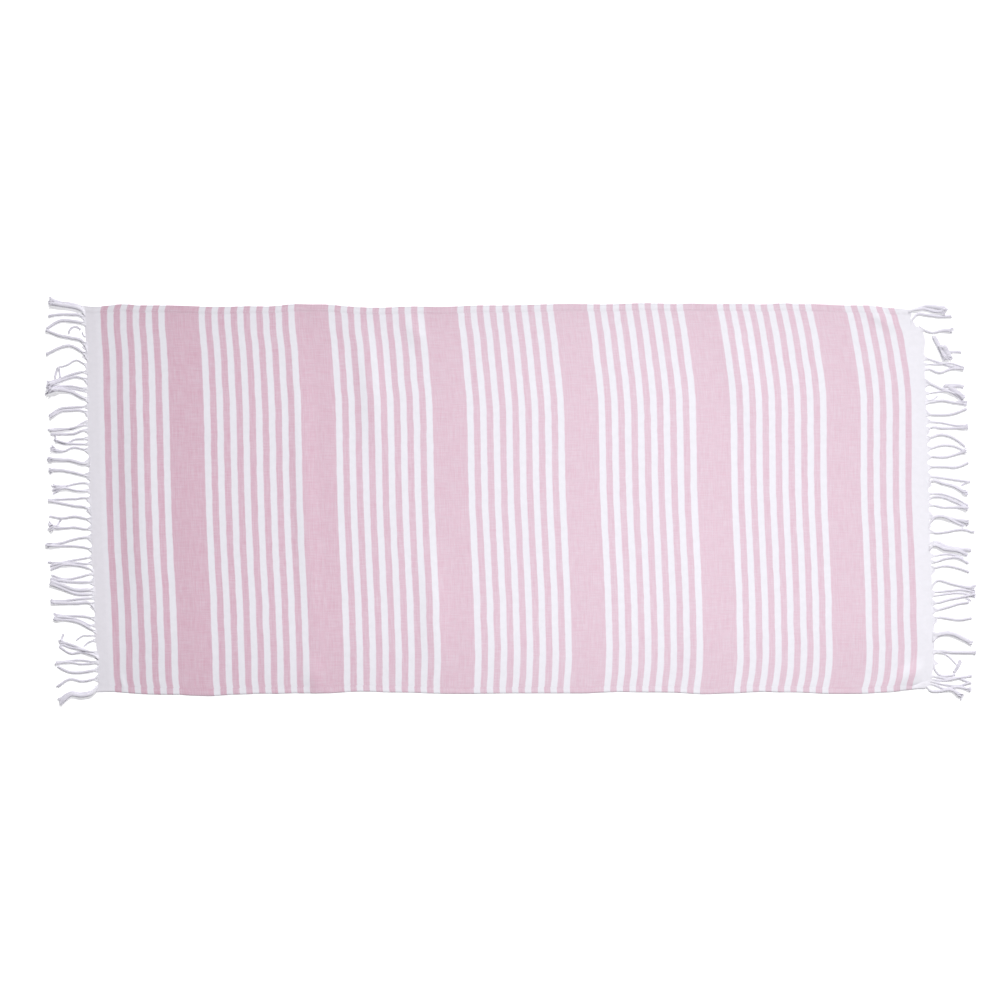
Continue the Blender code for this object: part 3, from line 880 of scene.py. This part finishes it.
def cotton_yarn(sizes):
    """Bleached cotton yarn, loosely twisted: white and matt, with a soft ply line and fuzz."""
    material, add, shader = new_material("bleached cotton yarn, twisted")
    ply = add("ShaderNodeAttribute", attribute_name="ply").outputs["Vector"]
    parts = add("ShaderNodeSeparateXYZ", (ply,))
    run = parts.outputs["Z"]

    # The plies turn round the yarn: their line is bright on one side of it
    turn = add(MATH, (run, 2 * pi / PLY_PITCH), "MULTIPLY")
    ply_line = 0.0
    for wave, side in (("SINE", "X"), ("COSINE", "Y")):
        turned = add(MATH, (turn,), wave)
        ply_line = add(MATH, (turned, parts.outputs[side], ply_line), "MULTIPLY_ADD")
    place = add("ShaderNodeTexCoord").outputs["Object"]
    # Fuzz is about 1 mm across, and paler patches of yarn about 17 mm
    fuzz = add(NOISE, {"Vector": place, "Scale": 900.0, "Detail": 4.0, "Roughness": 0.65})
    patch = add(NOISE, {"Vector": place, "Scale": 60.0, "Detail": 2.0})
    shade = uneven(add, patch, 0.95, 1.0)

    # Where the yarns leave the cloth they still lie open, and look as white as the cloth does; further out
    # their colour holds the painted shade between the plies
    twisted = add(MAP_RANGE, {"Value": run, "From Min": OPEN_ROOT, "From Max": TWISTED_FROM})
    whites = {"A": (*sizes.white, 1.0), "B": (*sizes.fringe_yarn_and_ply_shade, 1.0)}
    yarn = add(MIX, {"Factor": twisted, **whites}, data_type="RGBA")
    shades = {"Factor": 1.0, "A": yarn, "B": shade}
    colour = add(MIX, shades, data_type="RGBA", blend_type="MULTIPLY")
    height = add(MATH, (fuzz, FUZZ_HEIGHT, ply_line), "MULTIPLY_ADD")
    relief = add("ShaderNodeBump", {"Height": height, "Strength": 0.6, "Distance": 0.0002})
    surface = {"Roughness": 0.9, "IOR": COTTON_IOR, "Sheen Weight": 0.2, "Sheen Roughness": 0.5}
    set_inputs(shader, {"Base Color": colour, "Normal": relief, **surface})
    return material


def sewing_thread():
    """Spun sewing thread: smoother and a little glossier than the cloth's yarns, with fibres under 1 mm."""
    material, add, shader = new_material("spun sewing thread")
    place = add("ShaderNodeTexCoord").outputs["Object"]
    fibres = add(NOISE, {"Vector": place, "Scale": 1500.0, "Detail": 2.0})
    relief = add("ShaderNodeBump", {"Height": fibres, "Strength": 0.4, "Distance": 0.0001})
    colour = (*linear("#EADFE8"), 1.0)
    set_inputs(shader, {"Base Color": colour, "Normal": relief, "Roughness": 0.6})
    return material


def backdrop_paper():
    """Seamless white paper with light behind it, more of it at the left, where the lights reach less."""
    material, add, shader = new_material("white backdrop paper")
    place = add("ShaderNodeTexCoord").outputs["Object"]
    # The paper's grain is about 3 mm across
    grain = add(NOISE, {"Vector": place, "Scale": 300.0, "Detail": 3.0})
    relief = add("ShaderNodeBump", {"Height": grain, "Strength": 0.1, "Distance": 0.0002})
    parts = add("ShaderNodeSeparateXYZ", (place,))
    glow = add(MAP_RANGE, {"Value": parts.outputs["X"], **FLOOR_GLOW})
    colour = (*linear("#FAFAFB"), 1.0)
    lit = {"Emission Color": (1.0, 1.0, 1.0, 1.0), "Emission Strength": glow}
    set_inputs(shader, {"Base Color": colour, "Normal": relief, "Roughness": 0.8, **lit})
    return material


def add_object(name, data):
    obj = bpy.data.objects.new(name, data)
    bpy.context.scene.collection.objects.link(obj)
    return obj


def add_mesh(name, points, edges, faces):
    mesh = bpy.data.meshes.new(name)
    mesh.from_pydata(points, edges, faces)
    return add_object(name, mesh)


def finish_piece(obj, slot, *nodes):
    """Makes a piece ride on the towel's one body, in the place of the construction's nodes."""
    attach(obj, "root")
    if nodes:
        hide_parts(*nodes)


def keep_modified_shape(obj):
    """Makes the shape that the modifiers give the object's own mesh."""
    graph = bpy.context.evaluated_depsgraph_get()
    mesh = bpy.data.meshes.new_from_object(obj.evaluated_get(graph))
    name = obj.name
    bpy.data.objects.remove(obj, do_unlink=True)
    mesh.name = name
    return add_object(name, mesh)


def hem_change(change, along):
    """How much of a change a hem has made at a place along it."""
    return change.share * smooth_step((along - change.start) / change.reach)


def hem_spread(edge, along):
    """How wide the turned-over hem lies: at the near right corner it narrows, and then opens into a flap."""
    if edge == FAR:
        return FAR_HEM_SPREAD
    narrow = HEM_NARROWING.share * bump((along - HEM_NARROWING.start) / HEM_NARROWING.reach)
    return 1.0 - narrow + hem_change(HEM_FLAP, along)


def hem_lift(edge, along):
    """How thick the turned-over hem lies: the near one is pressed flat but for its right corner."""
    return 1.0 if edge == FAR else PRESSED_HEM + hem_change(HEM_SWELLING, along)


def hem_section():
    """A hem's rows from the body outwards, round the fold and back over the top."""
    rows = list(HEM_LOWER)
    for step in range(FOLD_ROWS):
        angle = radians(FOLD_TURN * (2 * step / (FOLD_ROWS - 1) - 1))
        inset = FOLD_RADIUS * (1 - cos(angle))
        rows.append(HemRow(inset, FOLD_RADIUS * (1 + sin(angle)) - FOLD_DEPTH, FOLD_RADIUS * angle))
    return rows + HEM_UPPER


def woven_point(along, across, height):
    x = lay_x(along, across) + pick_run(along, across)
    return Vector((x, lay_y(along, across), height))


def woven_sheet(name, alongs, body_acrosses, sizes, end_shape=None):
    """A folded sheet between two hems, one face thick, with its flat-cloth places in its uv map."""
    section = hem_section()
    rows = [(NEAR, hem) for hem in reversed(section)]
    rows += [(0, across) for across in body_acrosses]
    rows += [(FAR, hem) for hem in section]
    points, flats = [], []
    for edge, row in rows:
        for along in alongs:
            if edge == 0:
                across, lift, flat_across, slip = row, 0.0, row, 0.0
            else:
                spread = hem_spread(edge, along) if row.beyond > 0 else 1.0
                across = edge * (WIDTH / 2 - row.inset * spread * MM)
                lift = row.lift * hem_lift(edge, along) * MM
                flat_across = edge * (WIDTH / 2 + row.beyond * spread * MM)
                slip = HEM_SLIP * smooth_step(row.beyond / 2)
            underside = max(lay_z(along, across, sizes.relief) + lift, 0.0)
            point = woven_point(along, across, underside + sizes.cloth_thickness / 2)
            if end_shape:
                point.x += end_shape(along, across)
            points.append(point)
            flats.append((along + LENGTH / 2 + slip, flat_across))
    width = len(alongs)
    faces = []
    for row in range(len(rows) - 1):
        for column in range(width - 1):
            first = row * width + column
            faces.append((first, first + 1, first + width + 1, first + width))
    obj = add_mesh(name, points, [], faces)
    uv = obj.data.uv_layers.new(name="weave")
    for loop in obj.data.loops:
        uv.data[loop.index].uv = flats[loop.vertex_index]
    solidify = obj.modifiers.new("Thickness", "SOLIDIFY")
    solidify.thickness = sizes.cloth_thickness
    solidify.offset = 0.0
    obj = keep_modified_shape(obj)
    obj.data.shade_smooth()
    obj.data.set_sharp_from_angle(angle=radians(SHARP_ANGLE))
    return obj


def move_mesh(obj, shift):
    for vertex in obj.data.vertices:
        vertex.co += shift


class TOWEL_OT_weave_cloth(Operator):
    """Builds the woven cloth with its two hems turned over"""

    bl_idname = "beach_towel.weave_cloth"
    bl_label = "Weave the cloth"

    def execute(self, context):
        sizes = context.scene.beach_towel
        end = LENGTH / 2 - STRIP_WIDTH - STRIP_GAP
        alongs = crowded_steps(end, COLUMNS, CROWDING_ALONG)
        inner = WIDTH / 2 - HEM_LOWER[0].inset * MM - BODY_INSET
        acrosses = crowded_steps(inner, BODY_ROWS, CROWDING_ACROSS)
        cloth = woven_sheet("woven_cloth", alongs, acrosses, sizes)
        move_mesh(cloth, towel_shift())
        cloth.data.materials.append(striped_cotton(sizes))
        finish_piece(cloth, "striped_cotton", "cloth")
        return {"FINISHED"}


def on_end(end, across, out=0.0):
    """The floor under a place on one end of the cloth, or that far out from it."""
    along = end * LENGTH / 2
    return Vector((lay_x(along, across) + end * out, lay_y(along, across), 0.0))


def strand_route(strand, end):
    """A strand's points on the floor, from just inside the cloth to its tip, each with its half width."""
    root = strand.root * MM
    start = on_end(end, root)
    offsets = (0, strand.near, strand.middle, strand.far, strand.tip)
    route = []
    for step in range(STRAND_STEPS + 1):
        part = step / STRAND_STEPS
        outward = part * (strand.reach * MM + STRAND_ROOT_DEPTH) - STRAND_ROOT_DEPTH
        bend = noise.noise(Vector((outward * SWAY_BENDS, root * SWAY_CHANGE, end)))
        across = soft_line(STATIONS, offsets, part) * MM + SWAY * sin(pi * part) * bend
        wider = 1 + (strand.brush - 1) * smooth_step((part - strand.opens) / (1 - strand.opens))
        route.append((start + Vector((end * outward, across, 0.0)), strand.width * wider * MM / 2))
    return route


def curl_route(curl):
    """A stray yarn's points on the floor, each with its half width."""
    point = on_end(curl.end, curl.across * MM, curl.out * MM)
    stride = curl.length * MM / CURL_STEPS
    route = []
    for step in range(CURL_STEPS + 1):
        route.append((point.copy(), curl.width * MM / 2))
        way = radians(curl.turn + curl.bend * step / CURL_STEPS)
        point += stride * Vector((curl.end * cos(way), sin(way), 0.0))
    return route


def lifts_over(route, laid):
    """How high a route's points are lifted by the strands that lie there already."""
    lifts = []
    for point, half in route:
        lift = 0.0
        for other, other_half, top in laid:
            apart = (other - point).length / (half + other_half)
            if apart < 1:
                lift = max(lift, top * cos(pi * apart / 2))
        lifts.append(lift)
    spread = range(-LIFT_SPREAD, LIFT_SPREAD + 1)
    last = len(route) - 1
    return [
        sum(lifts[min(max(i + shift, 0), last)] for shift in spread) / len(spread)
        for i in range(len(route))
    ]


def lay_routes(routes, below, most, flatness):
    """The routes' points at their heights, each with its half width and its top. most: how many of the
    strands laid last are looked at. flatness: a bundle's height over its width."""
    laid = []
    for route in routes:
        under = [item for other in (below + laid)[-most:] for item in other]
        lifts = lifts_over(route, under)
        tops = [lift + 2 * half * flatness for lift, (point, half) in zip(lifts, route)]
        laid.append([(point, half, top) for (point, half), top in zip(route, tops)])
    return laid


def guide_lines(name, laid, bundles, flatness, shift):
    """One line of edges for each laid strand, with the measures of its bundle."""
    points, edges, measures = [], [], []
    for number, (route, bundle) in enumerate(zip(laid, bundles)):
        for step, (point, half, top) in enumerate(route):
            if step:
                edges.append((len(points) - 1, len(points)))
            points.append(point + Vector((0.0, 0.0, top - half * flatness)) + shift)
            measures.append((half, (half + bundle.half) / 2, number, bundle.gather, bundle.fray))
    guides = add_mesh(name, points, edges, [])
    for (measure, kind), values in zip(GUIDE_MEASURES.items(), zip(*measures)):
        guides.data.attributes.new(measure, kind, "POINT").data.foreach_set("value", values)
    return guides


def root_gathers(strands):
    """How far to each side the yarns of each strand stand at its root: less where its neighbour is near."""
    roots = [strand.root * MM for strand in strands]
    nearest = [min(abs(other - root) for other in roots if other != root) for root in roots]
    return [min(gap * GATHER_SHARE, MOST_GATHER) for gap in nearest]


def strand_bundles(strands):
    """The bundle of yarns of each strand."""
    frays = [smooth_step((strand.brush - LEAST_BRUSH) / BRUSH_RANGE) for strand in strands]
    halves = [strand.width * MM / 2 for strand in strands]
    return [Bundle(*measures) for measures in zip(halves, root_gathers(strands), frays)]


def new_tree(name, **inputs):
    """A node tree that changes a mesh, the function that adds its nodes, and its inputs, named by kind."""
    tree = bpy.data.node_groups.new(name, "GeometryNodeTree")
    for way in ("OUTPUT", "INPUT"):
        tree.interface.new_socket(name="Geometry", in_out=way, socket_type="NodeSocketGeometry")
    for kind, labels in inputs.items():
        for label in labels:
            tree.interface.new_socket(name=label, in_out="INPUT", socket_type="NodeSocket" + kind)
    return tree, partial(add_node, tree), tree.nodes.new("NodeGroupInput").outputs


def run_tree(obj, tree, values):
    """The plain mesh that a node tree makes of the object, in the object's place."""
    modifier = obj.modifiers.new(tree.name, "NODES")
    modifier.node_group = tree
    for item in tree.interface.items_tree:
        if item.in_out == "INPUT" and item.name in values:
            modifier[item.identifier] = values[item.name]
    return keep_modified_shape(obj)


def twisted_yarns_tree():
    """Yarns that leave the cloth side by side, twist together along each line, and part again at its tip."""
    tree, add, given = new_tree(
        "twisted yarns",
        Int=("Yarns", "Sides", "Seed"),
        Float=("Twist Pitch", "Ring Size", "Yarn Size", "Flatness", "Gather Length", "Run Before", "Fray"),
        Material=("Material",),
    )
    lines = add("GeometryNodeMeshToCurve", {"Mesh": given["Geometry"]})
    copies = add(
        "GeometryNodeDuplicateElements", {"Geometry": lines, "Amount": given["Yarns"]}, domain="SPLINE"
    )
    yarn = copies.outputs["Duplicate Index"]
    half, yarn_half, number, gather, fray = (
        add(ATTRIBUTE, {"Name": name}, data_type=kind) for name, kind in GUIDE_MEASURES.items()
    )
    place = add("GeometryNodeSplineParameter")
    length = place.outputs["Length"]

    # Each yarn ends at its own length
    yarn_id = add(MATH, (number, MOST_YARNS, yarn), "MULTIPLY_ADD")
    draw = {"ID": yarn_id, "Seed": given["Seed"]}
    cut = add(RANDOM, {"Min": SHORTEST_YARN, "Max": 1.0, **draw}, data_type="FLOAT")
    near_root = {"Value": length, "From Max": given["Gather Length"], "To Min": 1.0, "To Max": 0.0}
    gathered = add(MAP_RANGE, near_root, interpolation_type="SMOOTHSTEP")
    near_tip = {"Value": place.outputs["Factor"], "From Min": FRAYS_FROM, "From Max": 1.0}
    frayed = add(MAP_RANGE, near_tip, interpolation_type="SMOOTHSTEP")
    frayed = add(MATH, (frayed, fray), "MULTIPLY")

    # The place of the yarn in the twisted ring: the first one is its core
    whole_turn = {"Min": 0.0, "Max": 2 * pi, "ID": number, "Seed": given["Seed"]}
    phase = add(RANDOM, whole_turn, data_type="FLOAT")
    turns = add(MATH, (length, given["Twist Pitch"]), "DIVIDE")
    ring_count = add(MATH, (given["Yarns"], 1.0), "SUBTRACT")
    ring_place = add(MATH, (yarn, ring_count), "DIVIDE")
    both_turns = add(MATH, (turns, ring_place), "ADD")
    angle = add(MATH, (both_turns, 2 * pi, phase), "MULTIPLY_ADD")
    in_ring = add(MATH, (yarn, 0.5), "GREATER_THAN")
    widened = add(MATH, (frayed, given["Fray"], 1.0), "MULTIPLY_ADD")
    ring = half
    for factor in (given["Ring Size"], in_ring, widened):
        ring = add(MATH, (ring, factor), "MULTIPLY")
    cosine = add(MATH, (angle,), "COSINE")
    sine = add(MATH, (angle,), "SINE")
    sideways = add(MATH, (ring, cosine), "MULTIPLY")
    upwards = ring
    for factor in (sine, given["Flatness"]):
        upwards = add(MATH, (upwards, factor), "MULTIPLY")
    tangent = add("GeometryNodeInputTangent")
    side = add(VECTOR_MATH, (tangent, (0.0, 0.0, 1.0)), "CROSS_PRODUCT")
    side = add(VECTOR_MATH, (side,), "NORMALIZE")
    side = add(VECTOR_MATH, {"Vector": side, "Scale": sideways}, "SCALE")
    rise = add("ShaderNodeCombineXYZ", {"Z": upwards})
    twisted = add(VECTOR_MATH, (side, rise), "ADD")

    # At its tip each yarn strays its own way
    stray = add(RANDOM, {"Min": LEAST_STRAY, "Max": MOST_STRAY, **draw}, data_type="FLOAT_VECTOR")
    stray_size = add(MATH, (frayed, half), "MULTIPLY")
    stray = add(VECTOR_MATH, {"Vector": stray, "Scale": stray_size}, "SCALE")
    twisted = add(VECTOR_MATH, (twisted, stray), "ADD")

    # At the root the yarns lie side by side along the edge of the cloth
    fan = add(MAP_RANGE, {"Value": yarn, "From Max": ring_count, "To Min": -1.0, "To Max": 1.0})
    fan = add(MATH, (fan, gather), "MULTIPLY")
    down = add(MATH, (half, -ROOT_DROP), "MULTIPLY")
    fanned = add("ShaderNodeCombineXYZ", {"Y": fan, "Z": down})
    offset = add(MIX, {"Factor": gathered, "A": twisted, "B": fanned}, data_type="VECTOR")
    moved = add("GeometryNodeSetPosition", {"Geometry": copies, "Offset": offset})

    # The yarns are thinner at both ends, and none goes through the floor
    thin_tip = add(MAP_RANGE, {"Value": frayed, "To Min": 1.0, "To Max": THIN_TIP})
    thin_root = add(MAP_RANGE, {"Value": gathered, "To Min": 1.0, "To Max": THIN_ROOT})
    size = yarn_half
    for factor in (given["Yarn Size"], thin_tip, thin_root):
        size = add(MATH, (size, factor), "MULTIPLY")
    position = add("GeometryNodeInputPosition")
    parts = add("ShaderNodeSeparateXYZ", (position,)).outputs
    above = add(MATH, (parts["Z"], size), "MAXIMUM")
    above = add("ShaderNodeCombineXYZ", (parts["X"], parts["Y"], above))
    rested = add("GeometryNodeSetPosition", {"Geometry": moved, "Position": above})
    sized = add("GeometryNodeSetCurveRadius", {"Curve": rested, "Radius": size})

    # Each yarn keeps its run and the way round it, for its plies
    run = add(MATH, (length, given["Run Before"]), "ADD")
    measured = add(STORE, {"Geometry": sized, "Name": "run", "Value": run}, data_type="FLOAT")
    trimmed = add("GeometryNodeTrimCurve", {"Curve": measured, "End": cut}, mode="FACTOR")
    circle = add("GeometryNodeCurvePrimitiveCircle", {"Resolution": given["Sides"], "Radius": 1.0})
    around = {"Geometry": circle, "Name": "around", "Value": position}
    profile = add(STORE, around, data_type="FLOAT_VECTOR")
    tube = {"Curve": trimmed, "Profile Curve": profile, "Scale": add("GeometryNodeInputRadius")}
    tubes = add("GeometryNodeCurveToMesh", {**tube, "Fill Caps": True})
    run = add(ATTRIBUTE, {"Name": "run"}, data_type="FLOAT")
    around = add(ATTRIBUTE, {"Name": "around"}, data_type="FLOAT_VECTOR")
    sides = add("ShaderNodeSeparateXYZ", (around,)).outputs
    ply = add("ShaderNodeCombineXYZ", (sides["X"], sides["Y"], run))
    marked = add(STORE, {"Geometry": tubes, "Name": "ply", "Value": ply}, data_type="FLOAT_VECTOR")
    smooth = add("GeometryNodeSetShadeSmooth", {"Geometry": marked})
    real = add("GeometryNodeRealizeInstances", (smooth,))
    coloured = add("GeometryNodeSetMaterial", {"Geometry": real, "Material": given["Material"]})
    add("NodeGroupOutput", (coloured,))
    return tree


def teeth(end):
    """How far the cloth's end edge is drawn out at the roots of the strands."""
    roots = [strand.root * MM for strand in STRANDS[end]]
    sizes = [max(gather, LEAST_TOOTH) for gather in root_gathers(STRANDS[end])]

    def shape(along, across):
        share = smooth_step((abs(along) - LENGTH / 2 + STRIP_WIDTH) / STRIP_WIDTH)
        drawn = max(
            size * max(1 - abs(across - root) / size, 0) ** TOOTH_POWER for root, size in zip(roots, sizes)
        )
        return end * TOOTH_SHARE * share * drawn

    return shape


class TOWEL_OT_twist_fringes(Operator):
    """Builds the last picks of each heading and the twisted tassels that they hold"""

    bl_idname = "beach_towel.twist_fringes"
    bl_label = "Twist the fringes"

    def execute(self, context):
        sizes = context.scene.beach_towel
        shift = towel_shift()
        tree = twisted_yarns_tree()
        yarns = {
            "Yarns": sizes.yarns,
            "Twist Pitch": sizes.twist_pitch,
            "Sides": YARN_SIDES,
            "Fray": FRAY_SPREAD,
            "Seed": FRINGE_SEED,
            "Material": cotton_yarn(sizes),
        }
        weave = bpy.data.objects["woven_cloth"].data.materials[0]
        inner = WIDTH / 2 - HEM_LOWER[0].inset * MM - STRIP_INSET
        acrosses = crowded_steps(inner, STRIP_ROWS, 0)
        start = LENGTH / 2 - STRIP_WIDTH - STRIP_LAP
        reach = LENGTH / 2 - start
        steps = [start + reach * i / STRIP_COLUMNS for i in range(STRIP_COLUMNS + 1)]
        for side, end in ENDS.items():
            alongs = sorted(end * step for step in steps)
            picks = woven_sheet("last_picks_" + side, alongs, acrosses, sizes, teeth(end))
            move_mesh(picks, shift + Vector((0.0, 0.0, -STRIP_DROP)))
            picks.data.materials.append(weave)
            finish_piece(picks, "cotton_yarn", "fringe_" + side)

            curls = [curl for curl in CURLS if curl.end == end]
            curl_bundles = [Bundle(curl.width * MM / 2, 0.0, STRAY_FRAY) for curl in curls]
            strands = [strand_route(strand, end) for strand in STRANDS[end]]
            strands = lay_routes(strands, [], NEIGHBOURS, STRAND_FLATNESS)
            strays = [curl_route(curl) for curl in curls]
            strays = lay_routes(strays, strands, len(strands), STRAY_FLATNESS)
            kinds = (
                ("tassels_", strands, strand_bundles(STRANDS[end]), STRAND_FLATNESS, STRAND_YARNS),
                ("stray_yarns_", strays, curl_bundles, STRAY_FLATNESS, STRAY_YARNS),
            )
            for name, laid, bundles, flatness, own_values in kinds:
                guides = guide_lines(name + side, laid, bundles, flatness, shift)
                piece = run_tree(guides, tree, {**yarns, **own_values})
                finish_piece(piece, "cotton_yarn", "fringe_" + side)
        return {"FINISHED"}


def stitches_tree():
    """Short stitches laid end to end along each line."""
    tree, add, given = new_tree(
        "hem stitches", Float=("Pitch",), Vector=("Stitch Size",), Material=("Material",)
    )
    lines = add("GeometryNodeMeshToCurve", {"Mesh": given["Geometry"]})
    spaced = add("GeometryNodeResampleCurve", {"Curve": lines, "Length": given["Pitch"]}, mode="LENGTH")
    stitch = add("GeometryNodeMeshUVSphere", {"Segments": 6, "Rings": 4, "Radius": 0.5})
    stitch = add("GeometryNodeSetShadeSmooth", {"Geometry": stitch})
    tangent = add("GeometryNodeInputTangent")
    turn = add("FunctionNodeAlignRotationToVector", {"Vector": tangent}, axis="X")
    each = {"Instance": stitch, "Rotation": turn, "Scale": given["Stitch Size"]}
    placed = add("GeometryNodeInstanceOnPoints", {"Points": spaced, **each})
    real = add("GeometryNodeRealizeInstances", (placed,))
    coloured = add("GeometryNodeSetMaterial", {"Geometry": real, "Material": given["Material"]})
    add("NodeGroupOutput", (coloured,))
    return tree


class TOWEL_OT_stitch_hems(Operator):
    """Lays a row of stitches along each hem"""

    bl_idname = "beach_towel.stitch_hems"
    bl_label = "Stitch the hems"

    def execute(self, context):
        sizes = context.scene.beach_towel
        shift = towel_shift()
        points, edges = [], []
        reach = LENGTH / 2 - STRIP_WIDTH
        for edge in (NEAR, FAR):
            for column, along in enumerate(crowded_steps(reach, 2 * COLUMNS, CROWDING_ALONG)):
                across = edge * (WIDTH / 2 - STITCH_INSET * hem_spread(edge, along) * MM)
                raised = STITCH_HEIGHT + HEM_TOP * hem_lift(edge, along)
                height = lay_z(along, across, sizes.relief) + raised * MM
                if column:
                    edges.append((len(points) - 1, len(points)))
                points.append(woven_point(along, across, height) + shift)
        guides = add_mesh("hem_stitches", points, edges, [])
        values = {
            "Pitch": sizes.stitch_pitch,
            "Stitch Size": (sizes.stitch_pitch * STITCH_SHARE, STITCH_WIDTH, STITCH_DEPTH),
            "Material": sewing_thread(),
        }
        finish_piece(run_tree(guides, stitches_tree(), values), "striped_cotton")
        return {"FINISHED"}


class TOWEL_OT_set_stage(Operator):
    """Sets the floor, the light and the camera"""

    bl_idname = "beach_towel.set_stage"
    bl_label = "Set the stage"

    def execute(self, context):
        sizes = context.scene.beach_towel
        scene = context.scene
        plane = bmesh.new()
        bmesh.ops.create_grid(plane, x_segments=FLOOR_CELLS, y_segments=FLOOR_CELLS, size=FLOOR_REACH)
        mesh = bpy.data.meshes.new("floor")
        plane.to_mesh(mesh)
        plane.free()
        floor = add_object("floor", mesh)
        move_mesh(floor, Vector((0.0, 0.0, -FLOOR_DROP)))
        floor.data.materials.append(backdrop_paper())

        world = bpy.data.worlds.new("even studio light")
        world.use_nodes = True
        even_light = {"Color": (*linear("#F6F6FF"), 1.0), "Strength": sizes.fill_strength}
        set_inputs(world.node_tree.nodes["Background"], even_light)
        scene.world = world

        top_light = bpy.data.lights.new("top light", "AREA")
        top_light.shape = "DISK"
        top_light.size = TOP_LIGHT_SIZE
        top_light.energy = sizes.top_strength
        top = add_object("top light", top_light)
        top.location = TOP_LIGHT_PLACE
        top.visible_camera = False

        key_light = bpy.data.lights.new("key light", "SUN")
        key_light.energy = sizes.key_strength
        key_light.angle = radians(KEY_LIGHT_ANGLE)
        key = add_object("key light", key_light)
        key.rotation_euler = Vector(KEY_LIGHT_FROM).to_track_quat("Z", "Y").to_euler()

        camera_data = bpy.data.cameras.new("camera")
        camera_data.lens = LENS
        camera_data.sensor_width = SENSOR
        camera = add_object("camera", camera_data)
        camera.location = (*CAMERA_MIDDLE, VIEW_WIDTH * LENS / SENSOR)
        scene.camera = camera
        scene.view_settings.view_transform = "Standard"
        return {"FINISHED"}


class TOWEL_PT_sidebar(Panel):
    """Lists the towel's sizes and the steps that build it"""

    bl_idname = "TOWEL_PT_sidebar"
    bl_label = "Beach towel"
    bl_space_type = "VIEW_3D"
    bl_region_type = "UI"
    bl_category = "Beach towel"

    def draw(self, context):
        sizes = context.scene.beach_towel
        for name in TowelSizes.__annotations__:
            self.layout.prop(sizes, name)
        for step in STEPS:
            self.layout.operator(step.bl_idname)


STEPS = (TOWEL_OT_weave_cloth, TOWEL_OT_twist_fringes, TOWEL_OT_stitch_hems, TOWEL_OT_set_stage)
CLASSES = (TowelSizes, *STEPS, TOWEL_PT_sidebar)


def register():
    for cls in CLASSES:
        bpy.utils.register_class(cls)
    bpy.types.Scene.beach_towel = PointerProperty(type=TowelSizes)


def unregister():
    del bpy.types.Scene.beach_towel
    for cls in reversed(CLASSES):
        bpy.utils.unregister_class(cls)


def main():
    register()
    bpy.ops.beach_towel.weave_cloth()
    bpy.ops.beach_towel.twist_fringes()
    bpy.ops.beach_towel.stitch_hems()
    bpy.ops.beach_towel.set_stage()


if __name__ == "__main__":
    main()
